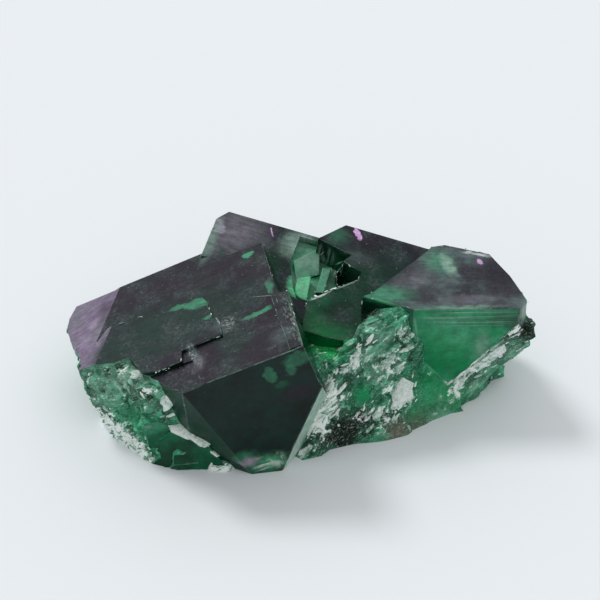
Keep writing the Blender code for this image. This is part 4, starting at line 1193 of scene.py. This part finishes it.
class FLUORITE_OT_stage(bpy.types.Operator):
    """Set the table, the soft light and the camera"""

    bl_idname = "fluorite.stage"
    bl_label = "Table, light and camera"

    def execute(self, context):
        studio = context.scene.fluorite_studio
        only_nothing()
        bpy.ops.mesh.primitive_plane_add(size=TABLE_WIDTH, location=(0, 0, 0))
        table = context.object
        table.name = "table"
        # Plain paper: matt, with hardly a shine.
        paper, tree = clear_material("matt_paper")
        shader = add(tree, "ShaderNodeBsdfPrincipled", {
            "Base Color": (*studio.table, 1.0), "Roughness": 0.9, "Specular IOR Level": 0.1})
        add(tree, "ShaderNodeOutputMaterial", {}, {"Surface": shader.outputs[0]})
        table.data.materials.append(paper)

        # The room: one soft light all round, a little stronger from behind.
        world = bpy.data.worlds.new("soft_room")
        context.scene.world = world
        world.use_nodes = True
        tree = world.node_tree
        tree.nodes.clear()
        way = add(tree, "ShaderNodeTexCoord").outputs["Generated"]
        behind = add(tree, "ShaderNodeSeparateXYZ", {}, {0: way}).outputs["Y"]
        level = ramp(tree, behind, -0.2, 0.5, studio.sky, studio.sky_back)
        sky = add(tree, "ShaderNodeBackground", {"Color": (*studio.room, 1.0)}, {"Strength": level})
        add(tree, "ShaderNodeOutputWorld", {}, {"Surface": sky.outputs[0]})

        lamp = bpy.data.lights.new("high_soft_lamp", "SUN")
        lamp.energy = studio.key
        lamp.angle = studio.key_size
        holder = bpy.data.objects.new("high_soft_lamp", lamp)
        context.scene.collection.objects.link(holder)
        holder.rotation_euler = LAMP_SIDE.to_track_quat("Z", "Y").to_euler()

        camera = bpy.data.cameras.new("camera")
        camera.lens = studio.lens
        camera.sensor_width = SENSOR_WIDTH
        camera.clip_start = NEAREST_SEEN
        eye = bpy.data.objects.new("camera", camera)
        context.scene.collection.objects.link(eye)
        back = Vector((0, -math.cos(studio.elevation), math.sin(studio.elevation)))
        eye.location = AIM * MM + back * studio.distance
        eye.rotation_euler = back.to_track_quat("Z", "Y").to_euler()
        context.scene.camera = eye
        context.scene.view_settings.view_transform = "Standard"
        return {"FINISHED"}


class FLUORITE_PT_panel(bpy.types.Panel):
    """Builds the cluster's pieces and shows their settings"""

    bl_idname = "FLUORITE_PT_panel"
    bl_label = "Fluorite cluster"
    bl_space_type = "VIEW_3D"
    bl_region_type = "UI"
    bl_category = "Fluorite"

    def draw(self, context):
        for operator in (FLUORITE_OT_crystals, FLUORITE_OT_flakes, FLUORITE_OT_stage):
            self.layout.operator(operator.bl_idname)
        for group in (context.scene.fluorite_shape, context.scene.fluorite_colours,
                      context.scene.fluorite_studio):
            box = self.layout.box()
            for name in group.__annotations__:
                box.prop(group, name)


CLASSES = (FluoriteShape, FluoriteColours, StudioSettings, FLUORITE_OT_crystals, FLUORITE_OT_flakes,
           FLUORITE_OT_stage, FLUORITE_PT_panel)


def register():
    """Makes the settings, the operators and the panel known to Blender."""
    for item in CLASSES:
        bpy.utils.register_class(item)
    bpy.types.Scene.fluorite_shape = bpy.props.PointerProperty(type=FluoriteShape)
    bpy.types.Scene.fluorite_colours = bpy.props.PointerProperty(type=FluoriteColours)
    bpy.types.Scene.fluorite_studio = bpy.props.PointerProperty(type=StudioSettings)


def unregister():
    """Takes them away again."""
    for name in ("fluorite_shape", "fluorite_colours", "fluorite_studio"):
        delattr(bpy.types.Scene, name)
    for item in reversed(CLASSES):
        bpy.utils.unregister_class(item)


def main():
    """Builds the cluster and its stage."""
    register()
    bpy.ops.fluorite.crystals()
    bpy.ops.fluorite.flakes()
    bpy.ops.fluorite.stage()


if __name__ == "__main__":
    main()
